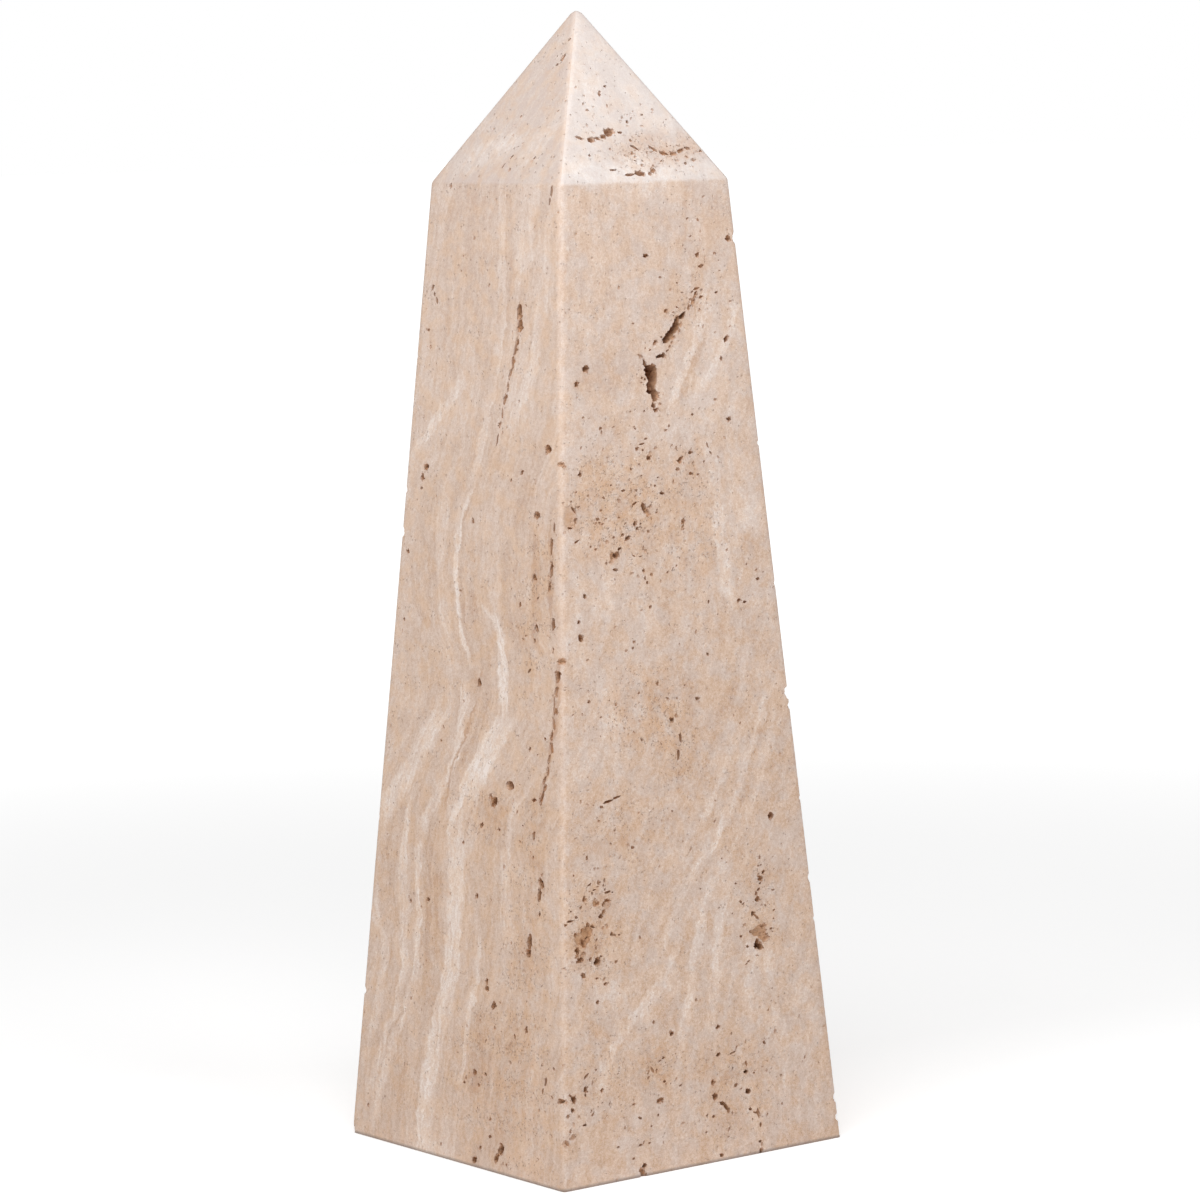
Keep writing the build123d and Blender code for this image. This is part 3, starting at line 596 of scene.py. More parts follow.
# %% Swarms of pores
# Each row: across, up, half the patch's width and height, how many pores, their usual lean
SWARMS = {
    "front": (
        (-19, 176, 17, 9, 150, 30), (-12, 190, 18, 9, 60, 20), (-14, 164, 12, 9, 70, 120),
        (6, 176, 12, 16, 50, 60), (-28, 196, 9, 12, 25, 20), (16, 187, 8, 8, 30, 110),
        (-15, 122, 14, 10, 90, 100), (-33, 124, 8, 8, 50, 30), (-3, 112, 5, 14, 35, 95),
        (26, 123, 9, 12, 40, 65), (3, 135, 8, 12, 30, 80), (-10, 140, 22, 10, 45, 30),
        (-35, 74, 10, 12, 40, 40), (-33, 58, 11, 10, 25, 80), (-25, 92, 16, 8, 45, 10),
        (24, 66, 8, 14, 20, 75), (-36, 97, 7, 6, 18, 10), (-22, 30, 16, 12, 45, 60),
        (12, 22, 16, 14, 40, 60), (17, 9, 8, 8, 20, 90), (-38, 24, 9, 14, 30, 80),
        (30, 30, 14, 26, 60, 60), (28, 158, 9, 12, 30, 30), (-12, 241, 14, 8, 22, 20),
        (18, 240, 10, 9, 45, 35), (20, 226, 10, 8, 30, 35), (-28, 48, 14, 12, 40, 40),
        (8, 84, 20, 16, 40, 60), (0, 60, 24, 30, 50, 60), (18, 253, 9, 5, 30, 20),
        (0, 230, 28, 26, 40, 30), (0, 20, 42, 18, 60, 60), (0, 160, 34, 40, 60, 60),
    ),
    "left": (
        (24, 150, 9, 26, 60, 90), (24, 108, 9, 12, 25, 90), (28, 60, 10, 40, 70, 92),
        (24, 38, 8, 18, 45, 92), (6, 30, 12, 22, 35, 85), (36, 26, 8, 22, 50, 90),
        (33, 160, 3, 26, 40, 90), (35, 118, 3, 22, 40, 88), (-6, 155, 7, 12, 25, 100),
        (12, 215, 5, 22, 35, 82), (-25, 226, 3, 12, 16, 100), (-4, 95, 10, 10, 20, 60),
        (-30, 20, 14, 24, 30, 88), (-20, 60, 16, 30, 35, 90), (8, 76, 14, 20, 25, 88),
        (-8, 246, 8, 12, 20, 80), (26, 82, 8, 12, 25, 88), (12, 8, 22, 8, 40, 40),
        (0, 130, 34, 120, 80, 90), (-36, 84, 6, 10, 12, 20), (4, 245, 24, 14, 20, 88),
    ),
    "point front": (
        (9.4, 8.6, 3.4, 1.1, 1, -15), (3.6, 3.4, 2.2, 1.3, 1, 15), (-7.2, 15.6, 1.8, 1.1, 1, 60),
        (-10.6, 13.6, 2.0, 1.0, 1, -20), (3, 7, 8, 3, 60, 0), (14, 8, 9, 3, 110, 10),
        (6, 19, 9, 6, 60, 30), (-8, 24, 8, 8, 30, 40), (0, 30, 8, 14, 25, 30),
        (-6, 13, 16, 6, 50, 20),
    ),
    "point left": (
        (8, 8, 12, 6, 30, 62), (-4, 14, 8, 12, 25, 62), (5, 38, 4, 6, 20, 60),
        (4, 24, 10, 16, 20, 60),
    ),
}
SWARMS["back"] = SWARMS["front"][10:17] + SWARMS["front"][-3:]
SWARMS["right"] = SWARMS["left"][1:8] + SWARMS["left"][-3:]
SWARMS["point back"] = SWARMS["point left"]
SWARMS["point right"] = SWARMS["point left"][:2]
FINEST, COARSEST = 0.32, 1.4
# Only this share of the pores is cut, which keeps the mesh light
CUT_SHARES = {"front": 0.60, "left": 0.65, "back": 0.2, "right": 0.16}


def reach_at(face, up):
    """Half the face's width where a place is, so that no pore falls off its edge."""
    if face.startswith("point"):
        return SHOULDER / 2 * (1 - up * cos(pi / 2 - POINT_SLOPE) / (POINT_UP - SHOULDER_UP))
    return FOOT / 2 - up * sin(SHAFT_SLOPE)


def scatter(face, swarm, draw):
    middle, up_middle, half_wide, half_high, count, lean = swarm
    for _ in range(round(count * CUT_SHARES[face.replace("point ", "")])):
        angle, far = draw.uniform(0, 2 * pi), sqrt(draw.random())
        across = middle + half_wide * far * cos(angle)
        up = up_middle + half_high * far * sin(angle)
        size = FINEST + (COARSEST - FINEST) * draw.random() ** 3
        width = size * draw.uniform(0.4, 0.9)
        off_face = abs(across) > reach_at(face, up) - 0.5 or up < 1
        if off_face or (not face.startswith("point") and up > SHOULDER_UP - 1):
            continue
        turn = lean + draw.gauss(0, 30)
        lumps = BEADS if size > 0.9 else GRAINS
        cut_void(lumps, draw.randrange(6), face, across, up, size, width,
                 width * draw.uniform(0.3, 0.85), turn)


draw = Random(41)
for face, swarms in SWARMS.items():
    for swarm in swarms:
        scatter(face, swarm, draw)
print("pores and voids:", sum(len(tray) for tray in trays), "in", len(trays), "trays")

# %% [markdown]
# Now all of them are cut. One cut for each tray takes seconds, where one cut for each pore would
# take minutes. The lumps have done their work and go.

# %% Cut the voids out of the block
cut_trays()
for lump in GRAINS + BEADS + CAVES:
    bpy.data.objects.remove(lump)

# %% [markdown]
# Raw stone in a void is darker than the honed face, and deeper in it is painted darker still,
# as a painted shade. Each point of the mesh now stores how far it is from the copy that was kept,
# and the material will read that number. Baking the shade would need a texture, and a number on
# each point needs none. Then the faces are shaded smooth, but for the sharp mouths of the voids.

# %% Measure the depth of each point under the honed face
def store_depth(piece, whole):
    whole_tree = BVHTree.FromObject(whole, bpy.context.evaluated_depsgraph_get())
    depths = [whole_tree.find_nearest(point.co)[3] / MM for point in piece.data.vertices]
    record = piece.data.attributes.new("depth", "FLOAT", "POINT")
    record.data.foreach_set("value", depths)
    return max(depths)


print("deepest point lies", round(store_depth(stone, uncut), 2), "mm under the face")
bpy.data.objects.remove(uncut)
alone(stone)
bpy.ops.object.shade_smooth_by_angle(angle=radians(32))
stone.data.calc_loop_triangles()
print("triangles in the stone:", len(stone.data.loop_triangles))

# %% [markdown]
# ## The stone's finish
# A shader works with linear light, and colours are given in sRGB, so one function turns
# a hex colour into linear numbers. A second small function adds a node: plain values fill its
# sockets in order, and named ones fill the socket or the setting of that name. It keeps a tree
# of many nodes short to write and easy to read.

# %% Colour and node helpers
def linear(code):
    parts = [int(code[place:place + 2], 16) / 255 for place in (1, 3, 5)]
    return [c / 12.92 if c <= 0.04045 else ((c + 0.055) / 1.055) ** 2.4 for c in parts] + [1]


def add(kind, *values, **settings):
    node = tree.nodes.new("ShaderNode" + kind)
    sockets = dict(enumerate(values))
    for name, value in settings.items():
        if hasattr(node, name):
            setattr(node, name, value)
        else:
            sockets[name] = value
    for name, value in sockets.items():
        if isinstance(value, bpy.types.NodeSocket):
            tree.links.new(value, node.inputs[name])
        else:
            node.inputs[name].default_value = value
    return node.outputs[0]


print("half grey in linear light:", round(linear("#808080")[0], 3))

# %% [markdown]
# ### Layers in the stone
# Travertine grows in thin layers. Here they stand upright. The left and right faces cut across
# them and show them as wavy upright lines. The front and back faces run nearly along them and
# show clouds and long leaning sweeps. So the tree first asks which pair of faces a point belongs
# to, and measures "across" along that face. Using the place inside the block, and not a picture
# wrapped on it, lets the pattern run on down into each void.

# %% Where a point is, in millimetres
stone.data.materials.clear()
travertine = bpy.data.materials.new("honed unfilled travertine")
travertine.use_nodes = True
stone.data.materials.append(travertine)
tree = travertine.node_tree
surface = tree.nodes["Principled BSDF"]
where = add("TexCoord").node.outputs["Object"]
where = add("VectorMath", where, Scale=1 / MM, operation="SCALE")
x, y, up = add("SeparateXYZ", where).node.outputs
on_front = add(
    "Math", add("Math", y, operation="ABSOLUTE"), add("Math", x, operation="ABSOLUTE"),
    operation="GREATER_THAN",
)


def by_face(left, front):
    """One value on the left and right faces and the other on the front and back."""
    if isinstance(left, (int, float)):
        return add("Math", on_front, front - left, left, operation="MULTIPLY_ADD")
    gap = add("Math", front, left, operation="SUBTRACT")
    return add("Math", on_front, gap, left, operation="MULTIPLY_ADD")


through = by_face(x, y)
print("nodes so far:", len(tree.nodes))

# %% [markdown]
# The layers don't stand straight. On the left face they lean to the left a third of the way up
# and back again at mid height, on the front they sweep up to the right. A path of a few points
# says how far they wander at each height, and "drift" is the place across less that path. One
# noise also pushes every drawn edge about by a millimetre or two, so that none looks ruled.

# %% How the layers wander
LEFT_DRIFT = [(0, -13), (35, -10), (50, -6), (90, -6), (101, -1), (112, 6), (122, 11),
              (134, 11), (150, 4), (165, 3), (178, 5), (190, 11), (215, 15), (260, 18), (305, 30)]
FRONT_DRIFT = [(0, -24), (30, -18), (50, -13), (70, -5), (90, 6), (110, 17), (130, 25),
               (150, 30), (180, 34), (210, 40), (240, 46), (305, 50)]
UNREST_SIZE, UNREST_SWING = 8.0, 7.0
WAVE_SIZE, WAVE_SWING = 34.0, 9.0
PATH_SPAN = 100.0  # a path may lie up to half of this to either side
unrest = add("TexNoise", where, Scale=1 / UNREST_SIZE, Detail=4.0, Roughness=0.64)
unrest = add("VectorMath", unrest.node.outputs["Color"], (0.5, 0.5, 0.5), operation="SUBTRACT")
nudged = add("VectorMath", unrest, (UNREST_SWING,) * 3, where, operation="MULTIPLY_ADD")
nudged_x, nudged_y, nudged_up = add("SeparateXYZ", nudged).node.outputs
across = by_face(add("Math", nudged_y, -1.0, operation="MULTIPLY"), nudged_x)
height_share = add("Math", nudged_up, POINT_UP, operation="DIVIDE")


def follow(path):
    """The place across, in mm, that a path of (height, place) points has at a point's height."""
    line = add("FloatCurve", 1.0, height_share)
    dots = line.node.mapping.curves[0].points
    for number, (height, place) in enumerate(path):
        spot = (height / POINT_UP, place / PATH_SPAN + 0.5)
        if number < 2:
            dots[number].location = spot
        else:
            dots.new(*spot)
    line.node.mapping.update()
    return add("Math", line, PATH_SPAN, -PATH_SPAN / 2, operation="MULTIPLY_ADD")


soft_wave = add("TexNoise", where, Scale=1 / WAVE_SIZE, Detail=2.0)
wave = add("Math", soft_wave, WAVE_SWING, -WAVE_SWING / 2, operation="MULTIPLY_ADD")
wander = by_face(follow(LEFT_DRIFT), follow(FRONT_DRIFT))
drift = add("Math", add("Math", across, wander, operation="SUBTRACT"), wave, operation="ADD")
print("nodes so far:", len(tree.nodes))

# %% [markdown]
# Streaks and clouds of many sizes, laid one over another, make the stone's tone. Streaks follow
# the drift, so they bend with the layers. Clouds are the same all ways. Real crystals here are a
# tenth of a millimetre wide, too fine to show, so the finest cloud is drawn at a third.

# %% Streaks, clouds and grain
THROUGH_STEP = 60.0  # the layers change slowly on their way through the block


def layers(width, length, detail, seed):
    """Streaks of one width and length in mm that follow the layers, from 0 to 1."""
    spot = add(
        "CombineXYZ",
        add("Math", drift, width, operation="DIVIDE"),
        add("Math", through, THROUGH_STEP, operation="DIVIDE"),
        add("Math", up, length, operation="DIVIDE"),
    )
    shifted = add("VectorMath", spot, (seed, seed * 0.7, seed * 1.3), operation="ADD")
    return add("TexNoise", shifted, Scale=1.0, Detail=detail, Roughness=0.55)


def clouds(size, detail, seed):
    """Clouds of one size in mm, the same all ways, from 0 to 1."""
    spot = add("VectorMath", where, (seed * 50, seed * 35, seed * 20), operation="ADD")
    return add("TexNoise", spot, Scale=1 / size, Detail=detail, Roughness=0.55)


def blend_in(tone, cloud, left_share, front_share):
    """Add a cloud to the tone, by one share on the left and right faces, one on the others."""
    swing = add("Math", cloud, 0.5, operation="SUBTRACT")
    return add("Math", swing, by_face(left_share, front_share), tone, operation="MULTIPLY_ADD")


def crisp(cloud, gap):
    """Pull a cloud apart into pale and dark islands with a narrow shore between them."""
    return add("MapRange", cloud, 0.5 - gap, 0.5 + gap, 0.0, 1.0, interpolation_type="SMOOTHSTEP")


tone = add("Value")
tone.default_value = 0.375
tone = blend_in(tone, layers(12.0, 150.0, 2.0, 3), 0.27, 0.13)  # broad layers
tone = blend_in(tone, layers(4.0, 80.0, 3.0, 7), 0.34, 0.18)  # thin layers
tone = blend_in(tone, crisp(layers(1.1, 22.0, 3.0, 11), 0.12), 0.17, 0.07)  # fibres
tone = blend_in(tone, clouds(26.0, 2.0, 1), 0.12, 0.18)  # broad clouds
tone = blend_in(tone, crisp(layers(3.4, 8.0, 4.0, 21), 0.09), 0.10, 0.17)  # flakes
tone = blend_in(tone, clouds(6.0, 4.0, 2), 0.22, 0.34)  # small clouds
tone = blend_in(tone, crisp(clouds(0.9, 3.0, 4), 0.12), 0.16, 0.21)  # specks
tone = blend_in(tone, clouds(0.33, 1.0, 3), 0.80, 0.95)  # crystals
print("nodes so far:", len(tree.nodes))

# %% [markdown]
# ### The drawn layers
# Noise alone gives stone, but not this stone. The pale bands that give it its face are drawn on
# top. A band follows a path of (height, place across) points. It is flat across its width, and
# the fibres of the stone break it up. A strength above zero makes a pale vein, and one below
# zero a dark line.

# %% Bands that follow a path
fibres = layers(1.3, 16.0, 3.0, 17)
broken = add("MapRange", fibres, 0.38, 0.58, 0.6, 1.3)


def band(tone, path, half_width, strength):
    """Brighten (or darken) the tone along a path of (height, place across) points."""
    off = add("Math", add("Math", across, follow(path), operation="SUBTRACT"),
              operation="ABSOLUTE")
    core = add("MapRange", off, half_width * 0.75, half_width * 1.15 + 0.25, strength, 0.0,
               interpolation_type="SMOOTHSTEP")
    start = add("MapRange", nudged_up, path[0][0] - 2.0, path[0][0] + 3.0, 0.0, 1.0)
    end = add("MapRange", nudged_up, path[-1][0] - 3.0, path[-1][0] + 2.0, 1.0, 0.0)
    core = add("Math", add("Math", core, start, operation="MULTIPLY"), end, operation="MULTIPLY")
    return add("Math", core, broken, tone, operation="MULTIPLY_ADD")


LEFT_BANDS = (
    ([(0, -14), (12, -13.5), (25, -12), (34, -9.5), (42, -6.5), (55, -4.6), (66, -4), (76, -3.6),
      (85, -4.6), (96, -6)], 3.5, 0.30),
    ([(121, 14.2), (125, 14), (130, 12.8), (136, 12.2), (141, 11.2), (145, 8.5), (148, 4)],
     1.9, 0.36),
    ([(94, -1), (100, 1), (106, 4.5), (112, 8.5), (117, 12), (121, 14)], 4.6, 0.34),
    ([(86, -41), (92, -37), (98, -31), (104, -26), (112, -20), (119, -14)], 4.4, 0.24),
    ([(87, -20), (91, -18.5), (96, -15), (101, -11), (105, -8), (112, -5.5), (120, -4.4),
      (128, -3)], 1.7, 0.32),
    ([(4, -37), (20, -33), (28, -29), (36, -25), (46, -21), (60, -20.5), (80, -21), (84, -20.5)],
     1.6, 0.28),
    ([(12, -40), (28, -34), (40, -28), (50, -26), (62, -27), (80, -28), (94, -26)], 1.7, 0.22),
    ([(28, -40), (44, -36), (52, -35), (60, -39), (68, -41)], 1.8, 0.24),
    ([(18, 0.5), (28, 2.5), (36, 3.2), (42, 4.5), (48, 6.5), (54, 7.6), (62, 8)], 0.9, 0.32),
    ([(60, 17.5), (70, 18), (80, 17), (88, 18), (94, 20), (100, 23)], 1.8, 0.18),
    ([(133, -0.5), (138, -4), (143, -6.5), (148, -8.5), (155, -9.8), (165, -9.5), (172, -8),
      (180, -4)], 0.8, 0.36),
    ([(130, -11), (140, -13), (150, -14.5), (160, -16), (176, -17)], 2.6, 0.14),
    ([(186, -31), (192, -26), (198, -20), (204, -13.5), (210, -11)], 1.9, 0.26),
    ([(182, -4), (190, -1), (197, 1), (205, 3), (215, 4.5), (228, 6), (240, 5), (262, 3)],
     1.7, 0.20),
    ([(236, 14), (246, 15), (262, 18)], 3.4, 0.20),
    ([(198, 13), (205, 17), (215, 21), (225, 22.5), (240, 23.5), (250, 23)], 2.4, 0.24),
    ([(95, -10.5), (103, -8), (108, -6), (113, -3), (118, -1), (124, 1.5)], 0.35, -0.45),
    ([(142, -3.5), (148, -6.4), (155, -7.8), (165, -7.6), (175, -5)], 0.7, -0.20),
    ([(140, 27), (150, 26), (160, 25.5), (170, 24)], 1.8, -0.22),
    ([(99, 31.5), (105, 32.2), (112, 34.5), (120, 36), (130, 36.4), (138, 37.5)], 0.8, -0.30),
    ([(144, 33.6), (150, 32.6), (160, 31.6), (172, 31)], 0.9, -0.26),
    ([(204, 9.5), (212, 11.5), (222, 13.5), (232, 14)], 0.6, -0.24),
)
FRONT_BANDS = (
    ([(199, 2.5), (206, 6), (212, 10), (218, 14), (226, 18), (234, 22)], 1.2, 0.24),
    ([(204, 13), (212, 20), (220, 25), (227, 29)], 1.6, 0.24),
    ([(218, 11), (226, 15), (234, 18)], 0.9, 0.18),
    ([(201, 5.5), (207, 9), (213, 13), (221, 18)], 0.9, -0.18),
    ([(146, 20.5), (152, 19.5), (160, 18.5), (170, 18), (180, 17), (190, 15)], 2.0, 0.24),
    ([(150, 24), (160, 23), (170, 22.5)], 0.9, 0.12),
    ([(78, 2), (86, 10), (94, 16), (102, 21), (112, 26), (124, 31)], 1.3, 0.22),
    ([(74, 8), (82, 15), (90, 21), (100, 26), (110, 30)], 1.2, 0.18),
    ([(84, -2), (92, 6), (100, 12), (110, 18)], 1.0, 0.14),
    ([(58, -12), (66, -7), (74, -1), (80, 3), (88, 8)], 1.4, 0.16),
    ([(76, 5), (85, 12.5), (93, 18.5), (104, 24), (116, 29)], 0.9, -0.14),
    ([(30, -7), (44, -3), (56, 1), (66, 4), (78, 9)], 1.5, 0.20),
    ([(36, 4), (50, 7), (64, 10), (76, 14)], 1.3, 0.18),
    ([(26, -34), (32, -31), (38, -25), (44, -18), (50, -12), (57, -7)], 2.2, 0.26),
    ([(16, 30), (30, 29), (42, 26.5), (52, 25.5), (60, 28)], 1.4, 0.16),
    ([(10, 16), (24, 15), (36, 16), (48, 19), (58, 20)], 1.8, 0.14),
    ([(95, -1), (103, -1.5), (110, -1), (118, -2.5), (122, -3)], 0.8, -0.14),
)
left_tone = tone
for path, half_width, strength in LEFT_BANDS:
    left_tone = band(left_tone, path, half_width, strength)
front_tone = tone
for path, half_width, strength in FRONT_BANDS:
    front_tone = band(front_tone, path, half_width, strength)
print("bands drawn:", len(LEFT_BANDS) + len(FRONT_BANDS))

# %% [markdown]
# ### Patches painted on the stone
# Parts of the stone are paler or warmer than the rest, with soft edges. They are leaning ovals,
# and they are painted on the mesh's points: each point adds up the ovals it lies in. A chain of
# nodes for each oval would look the same and render slower. Clouds break their edges later.

# %% Paint soft ovals on the points
# Each row: across, up, half width, half height, lean in degrees, strength
LEFT_PATCHES = (
    (-24, 155, 9, 28, 0, -0.10), (12, 184, 17, 14, 0, -0.13), (20, 152, 9, 18, 0, -0.10),
    (0, 150, 4, 9, 0, -0.14), (2, 132, 4, 8, 0, -0.14), (-35, 74, 4, 14, 0, -0.18),
    (-14, 64, 3.6, 30, 2, -0.18), (11, 93, 10, 7, -30, -0.20), (30, 91, 5, 12, 0, -0.22),
    (9, 31, 5, 12, 0, -0.26), (28, 60, 5, 12, 0, -0.16), (3, 20, 6, 6, 0, -0.16),
    (12, 68, 5, 20, 0, -0.08), (-25, 132, 8, 12, 0, -0.06), (-31, 42, 3, 12, 0, -0.10),
    (-27, 22, 4, 14, 15, -0.10), (22, 30, 8, 18, 0, -0.12), (-4, 28, 5, 14, 8, -0.14),
    (0, 245, 30, 22, 0, -0.12), (0, 218, 30, 12, 0, -0.06), (-22, 222, 5, 16, 0, -0.06),
    (-12, 3, 14, 4, 0, 0.14), (32, 4, 12, 6, 0, 0.10), (38, 72, 3, 18, -6, 0.10),
    (34, 38, 4, 12, 0, 0.08), (6, 107, 5, 6, -35, 0.14), (-30, 122, 4, 6, 0, 0.12),
    (-38, 112, 4, 8, 0, 0.10), (28, 225, 3, 22, 0, 0.06), (16, 10, 8, 7, 0, -0.10),
)
FRONT_PATCHES = (
    (0, 243, 32, 20, 0, -0.08), (5, 257, 8, 5, 0, 0.16), (15, 256, 7, 4, 0, -0.14),
    (-17, 209, 15, 7, 12, -0.13), (-8, 199, 11, 4, 10, -0.08), (15, 197, 13, 2.2, 8, 0.16),
    (18, 212, 12, 14, -30, 0.06), (-14, 176, 20, 16, 10, -0.07), (27, 173, 5, 7, 0, 0.22),
    (28, 158, 5, 8, 0, -0.14), (-3, 150, 4, 10, 0, -0.12), (22, 140, 8, 8, 0, -0.04),
    (-21, 152, 6, 5, 20, 0.20), (-31, 149, 3, 4, 0, 0.16), (-27, 128, 3, 5, -50, 0.16),
    (-24, 117, 4, 8, -25, 0.22), (-35, 111, 4, 7, 0, 0.20), (-4, 131, 12, 12, 0, -0.10),
    (-14, 123, 7, 7, 0, -0.10), (8, 122, 12, 10, 0, -0.10), (-36, 62, 6, 7, 0, -0.26),
    (-30, 72, 8, 7, 0, -0.10), (-27, 49, 4, 5, 0, 0.20), (-18, 92, 12, 6, 0, -0.04),
    (-16, 29, 7, 7, 30, -0.22), (-8, 36, 6, 6, 0, -0.10), (10, 22, 10, 12, 0, -0.12),
    (36, 40, 5, 14, 0, 0.12), (24, 52, 5, 5, 0, 0.10), (26, 68, 6, 8, 0, -0.08),
    (-38, 8, 8, 6, 0, 0.10), (8, 66, 2, 6, -12, 0.16), (-10, 84, 10, 4, 0, 0.08),
    (32, 100, 4, 20, -12, -0.06), (-2, 108, 10, 9, 0, -0.06), (34, 12, 8, 8, 0, 0.06),
)
POINT_LEFT_PATCHES = (
    (-8, 268, 12, 4, 20, 0.50), (12, 272, 4, 9, -25, 0.36), (3, 284, 6, 10, -20, -0.10),
    (20, 266, 5, 4, 0, 0.14), (-2, 274, 8, 4, 30, 0.12),
)
POINT_FRONT_PATCHES = (
    (-6, 263.5, 28, 4, 0, 0.44), (-8, 284, 5, 6, 20, 0.30), (-1, 300, 5, 4, 0, -0.10),
    (8, 270, 12, 5, 0, -0.16), (0, 274, 14, 6, 10, -0.06), (9, 280, 5, 6, 30, 0.16),
)


def oval_shares(row):
    """A row with its lean worked out once as a cosine and a sine."""
    middle, up_middle, half_wide, half_high, lean, strength = row
    cosine, sine = cos(radians(lean)), sin(radians(lean))
    return middle, up_middle, cosine, sine, half_wide, half_high, strength


REACH, FADE = 1.5, 1.3  # where an oval ends and how wide its soft edge is, as far squared


def paint(piece, name, plain, left_rows, front_rows):
    """Store a number on each point: the plain value and what the ovals of its side add."""
    sides = [[oval_shares(row) for row in rows] for rows in (left_rows, front_rows)]
    values = []
    for point in piece.data.vertices:
        x, y, up = point.co / MM
        front = abs(y) > abs(x)
        across, value = (x if front else -y), plain
        for middle, up_middle, cosine, sine, half_wide, half_high, strength in sides[front]:
            aside, above = across - middle, up - up_middle
            far = ((aside * cosine + above * sine) / half_wide) ** 2
            far += ((above * cosine - aside * sine) / half_high) ** 2
            if far < REACH:
                fade = min((REACH - far) / FADE, 1.0)
                value += strength * fade * fade * (3 - 2 * fade)
        values.append(value)
    piece.data.attributes.new(name, "FLOAT", "POINT").data.foreach_set("value", values)
    print(name, "runs from", round(min(values), 2), "to", round(max(values), 2))


paint(stone, "pale", 0.0, LEFT_PATCHES + POINT_LEFT_PATCHES, FRONT_PATCHES + POINT_FRONT_PATCHES)

# %% [markdown]
# The two sides are joined here and the painted patches are added, torn at their edges by a
# cloud. The point is lit more steeply than the shaft and gets a painted highlight further on,
# so a mask picks it by its height, and its own tone is set a little lower.

# %% Join the sides and pick out the point
tone = by_face(left_tone, front_tone)
torn = add("MapRange", clouds(2.6, 3.0, 5), 0.40, 0.58, 0.25, 1.15)
pale = add("Attribute", attribute_name="pale").node.outputs["Fac"]
tone = add("Math", pale, torn, tone, operation="MULTIPLY_ADD")
on_point = add("MapRange", up, SHOULDER_UP - 0.4, SHOULDER_UP + 0.5, 0.0, 1.0)
tone = add("Math", on_point, by_face(-0.24, -0.08), tone, operation="MULTIPLY_ADD")
print("nodes so far:", len(tree.nodes))

# %% [markdown]
# ### Fine pores
# The finest pores, mostly under half a millimetre, are too many to cut. A Voronoi texture strews points through the
# block, and the surface is painted dark brown where it comes near one: the pore's own colour and a
# painted shade of the hole. Each cell's chance colour decides whether it holds a pore and how large
# it is. The loose layers hold the most. The pores also press the surface in, by a bump, so that the
# raking light gives each a lit lower lip.

# %% Strew the fine pores
LOOSE_LEFT = (
    (26, 150, 7, 30, 0, 0.30), (28, 60, 10, 40, 0, 0.34), (10, 26, 14, 20, 0, 0.26),
    (8, 95, 12, 8, 0, 0.30), (30, 20, 12, 24, 0, 0.30),
)
LOOSE_FRONT = (
    (-17, 176, 17, 16, 0, 0.55), (8, 172, 10, 22, 0, 0.35), (-12, 122, 14, 12, 0, 0.45),
    (-34, 66, 10, 14, 0, 0.50), (0, 112, 8, 16, 0, 0.35), (10, 226, 12, 6, 40, 0.35),
    (8, 268, 20, 5, 4, 0.35), (10, 20, 16, 14, 0, 0.30), (-14, 28, 8, 8, 0, 0.40),
    (24, 68, 6, 14, 0, 0.35), (-22, 92, 16, 10, 0, 0.20), (-32, 30, 10, 16, 0, 0.25),
)
paint(stone, "loose", 0.08, LOOSE_LEFT, LOOSE_FRONT)
loose = add("Attribute", attribute_name="loose").node.outputs["Fac"]


def pores(spacing, widest, share, seed):
    """Pores in a share of the cells, which are one spacing in mm apart. Two numbers come back,
    each 1 in a pore's middle and 0 away from it: the pore, and the wider dip with its pale rim, a painted
    highlight."""
    spot = add("VectorMath", where, (seed * 31, seed * 17, seed * 53), operation="ADD")
    cells = add("TexVoronoi", spot, Scale=1 / spacing).node
    chance, size = add("SeparateColor", cells.outputs["Color"]).node.outputs[:2]
    held = add("Math", chance, share, operation="LESS_THAN")
    reach = add("MapRange", size, 0.0, 1.0, widest * 0.35 / spacing, widest / spacing)
    reach = add("Math", reach, held, operation="MULTIPLY")
    core = add("Math", reach, 0.5, operation="MULTIPLY")
    verge = add("Math", reach, 1.7, operation="MULTIPLY")
    far = cells.outputs["Distance"]
    pore = add("MapRange", far, core, reach, 1.0, 0.0)
    return pore, add("MapRange", far, core, verge, 1.0, 0.0)


small_pores, small_dips = pores(0.7, 0.24, loose, 1)
fair_pores, fair_dips = pores(1.5, 0.40, add("Math", loose, 0.5, operation="MULTIPLY"), 2)
fine = add("Math", small_pores, fair_pores, operation="MAXIMUM")
dips_and_painted_rims = add("Math", small_dips, fair_dips, operation="MAXIMUM")
# Painted highlight: a paler ring round each fine pore, standing in for its lit lip.
tone = add("Math", dips_and_painted_rims, 0.16, tone, operation="MULTIPLY_ADD")
print("nodes so far:", len(tree.nodes))
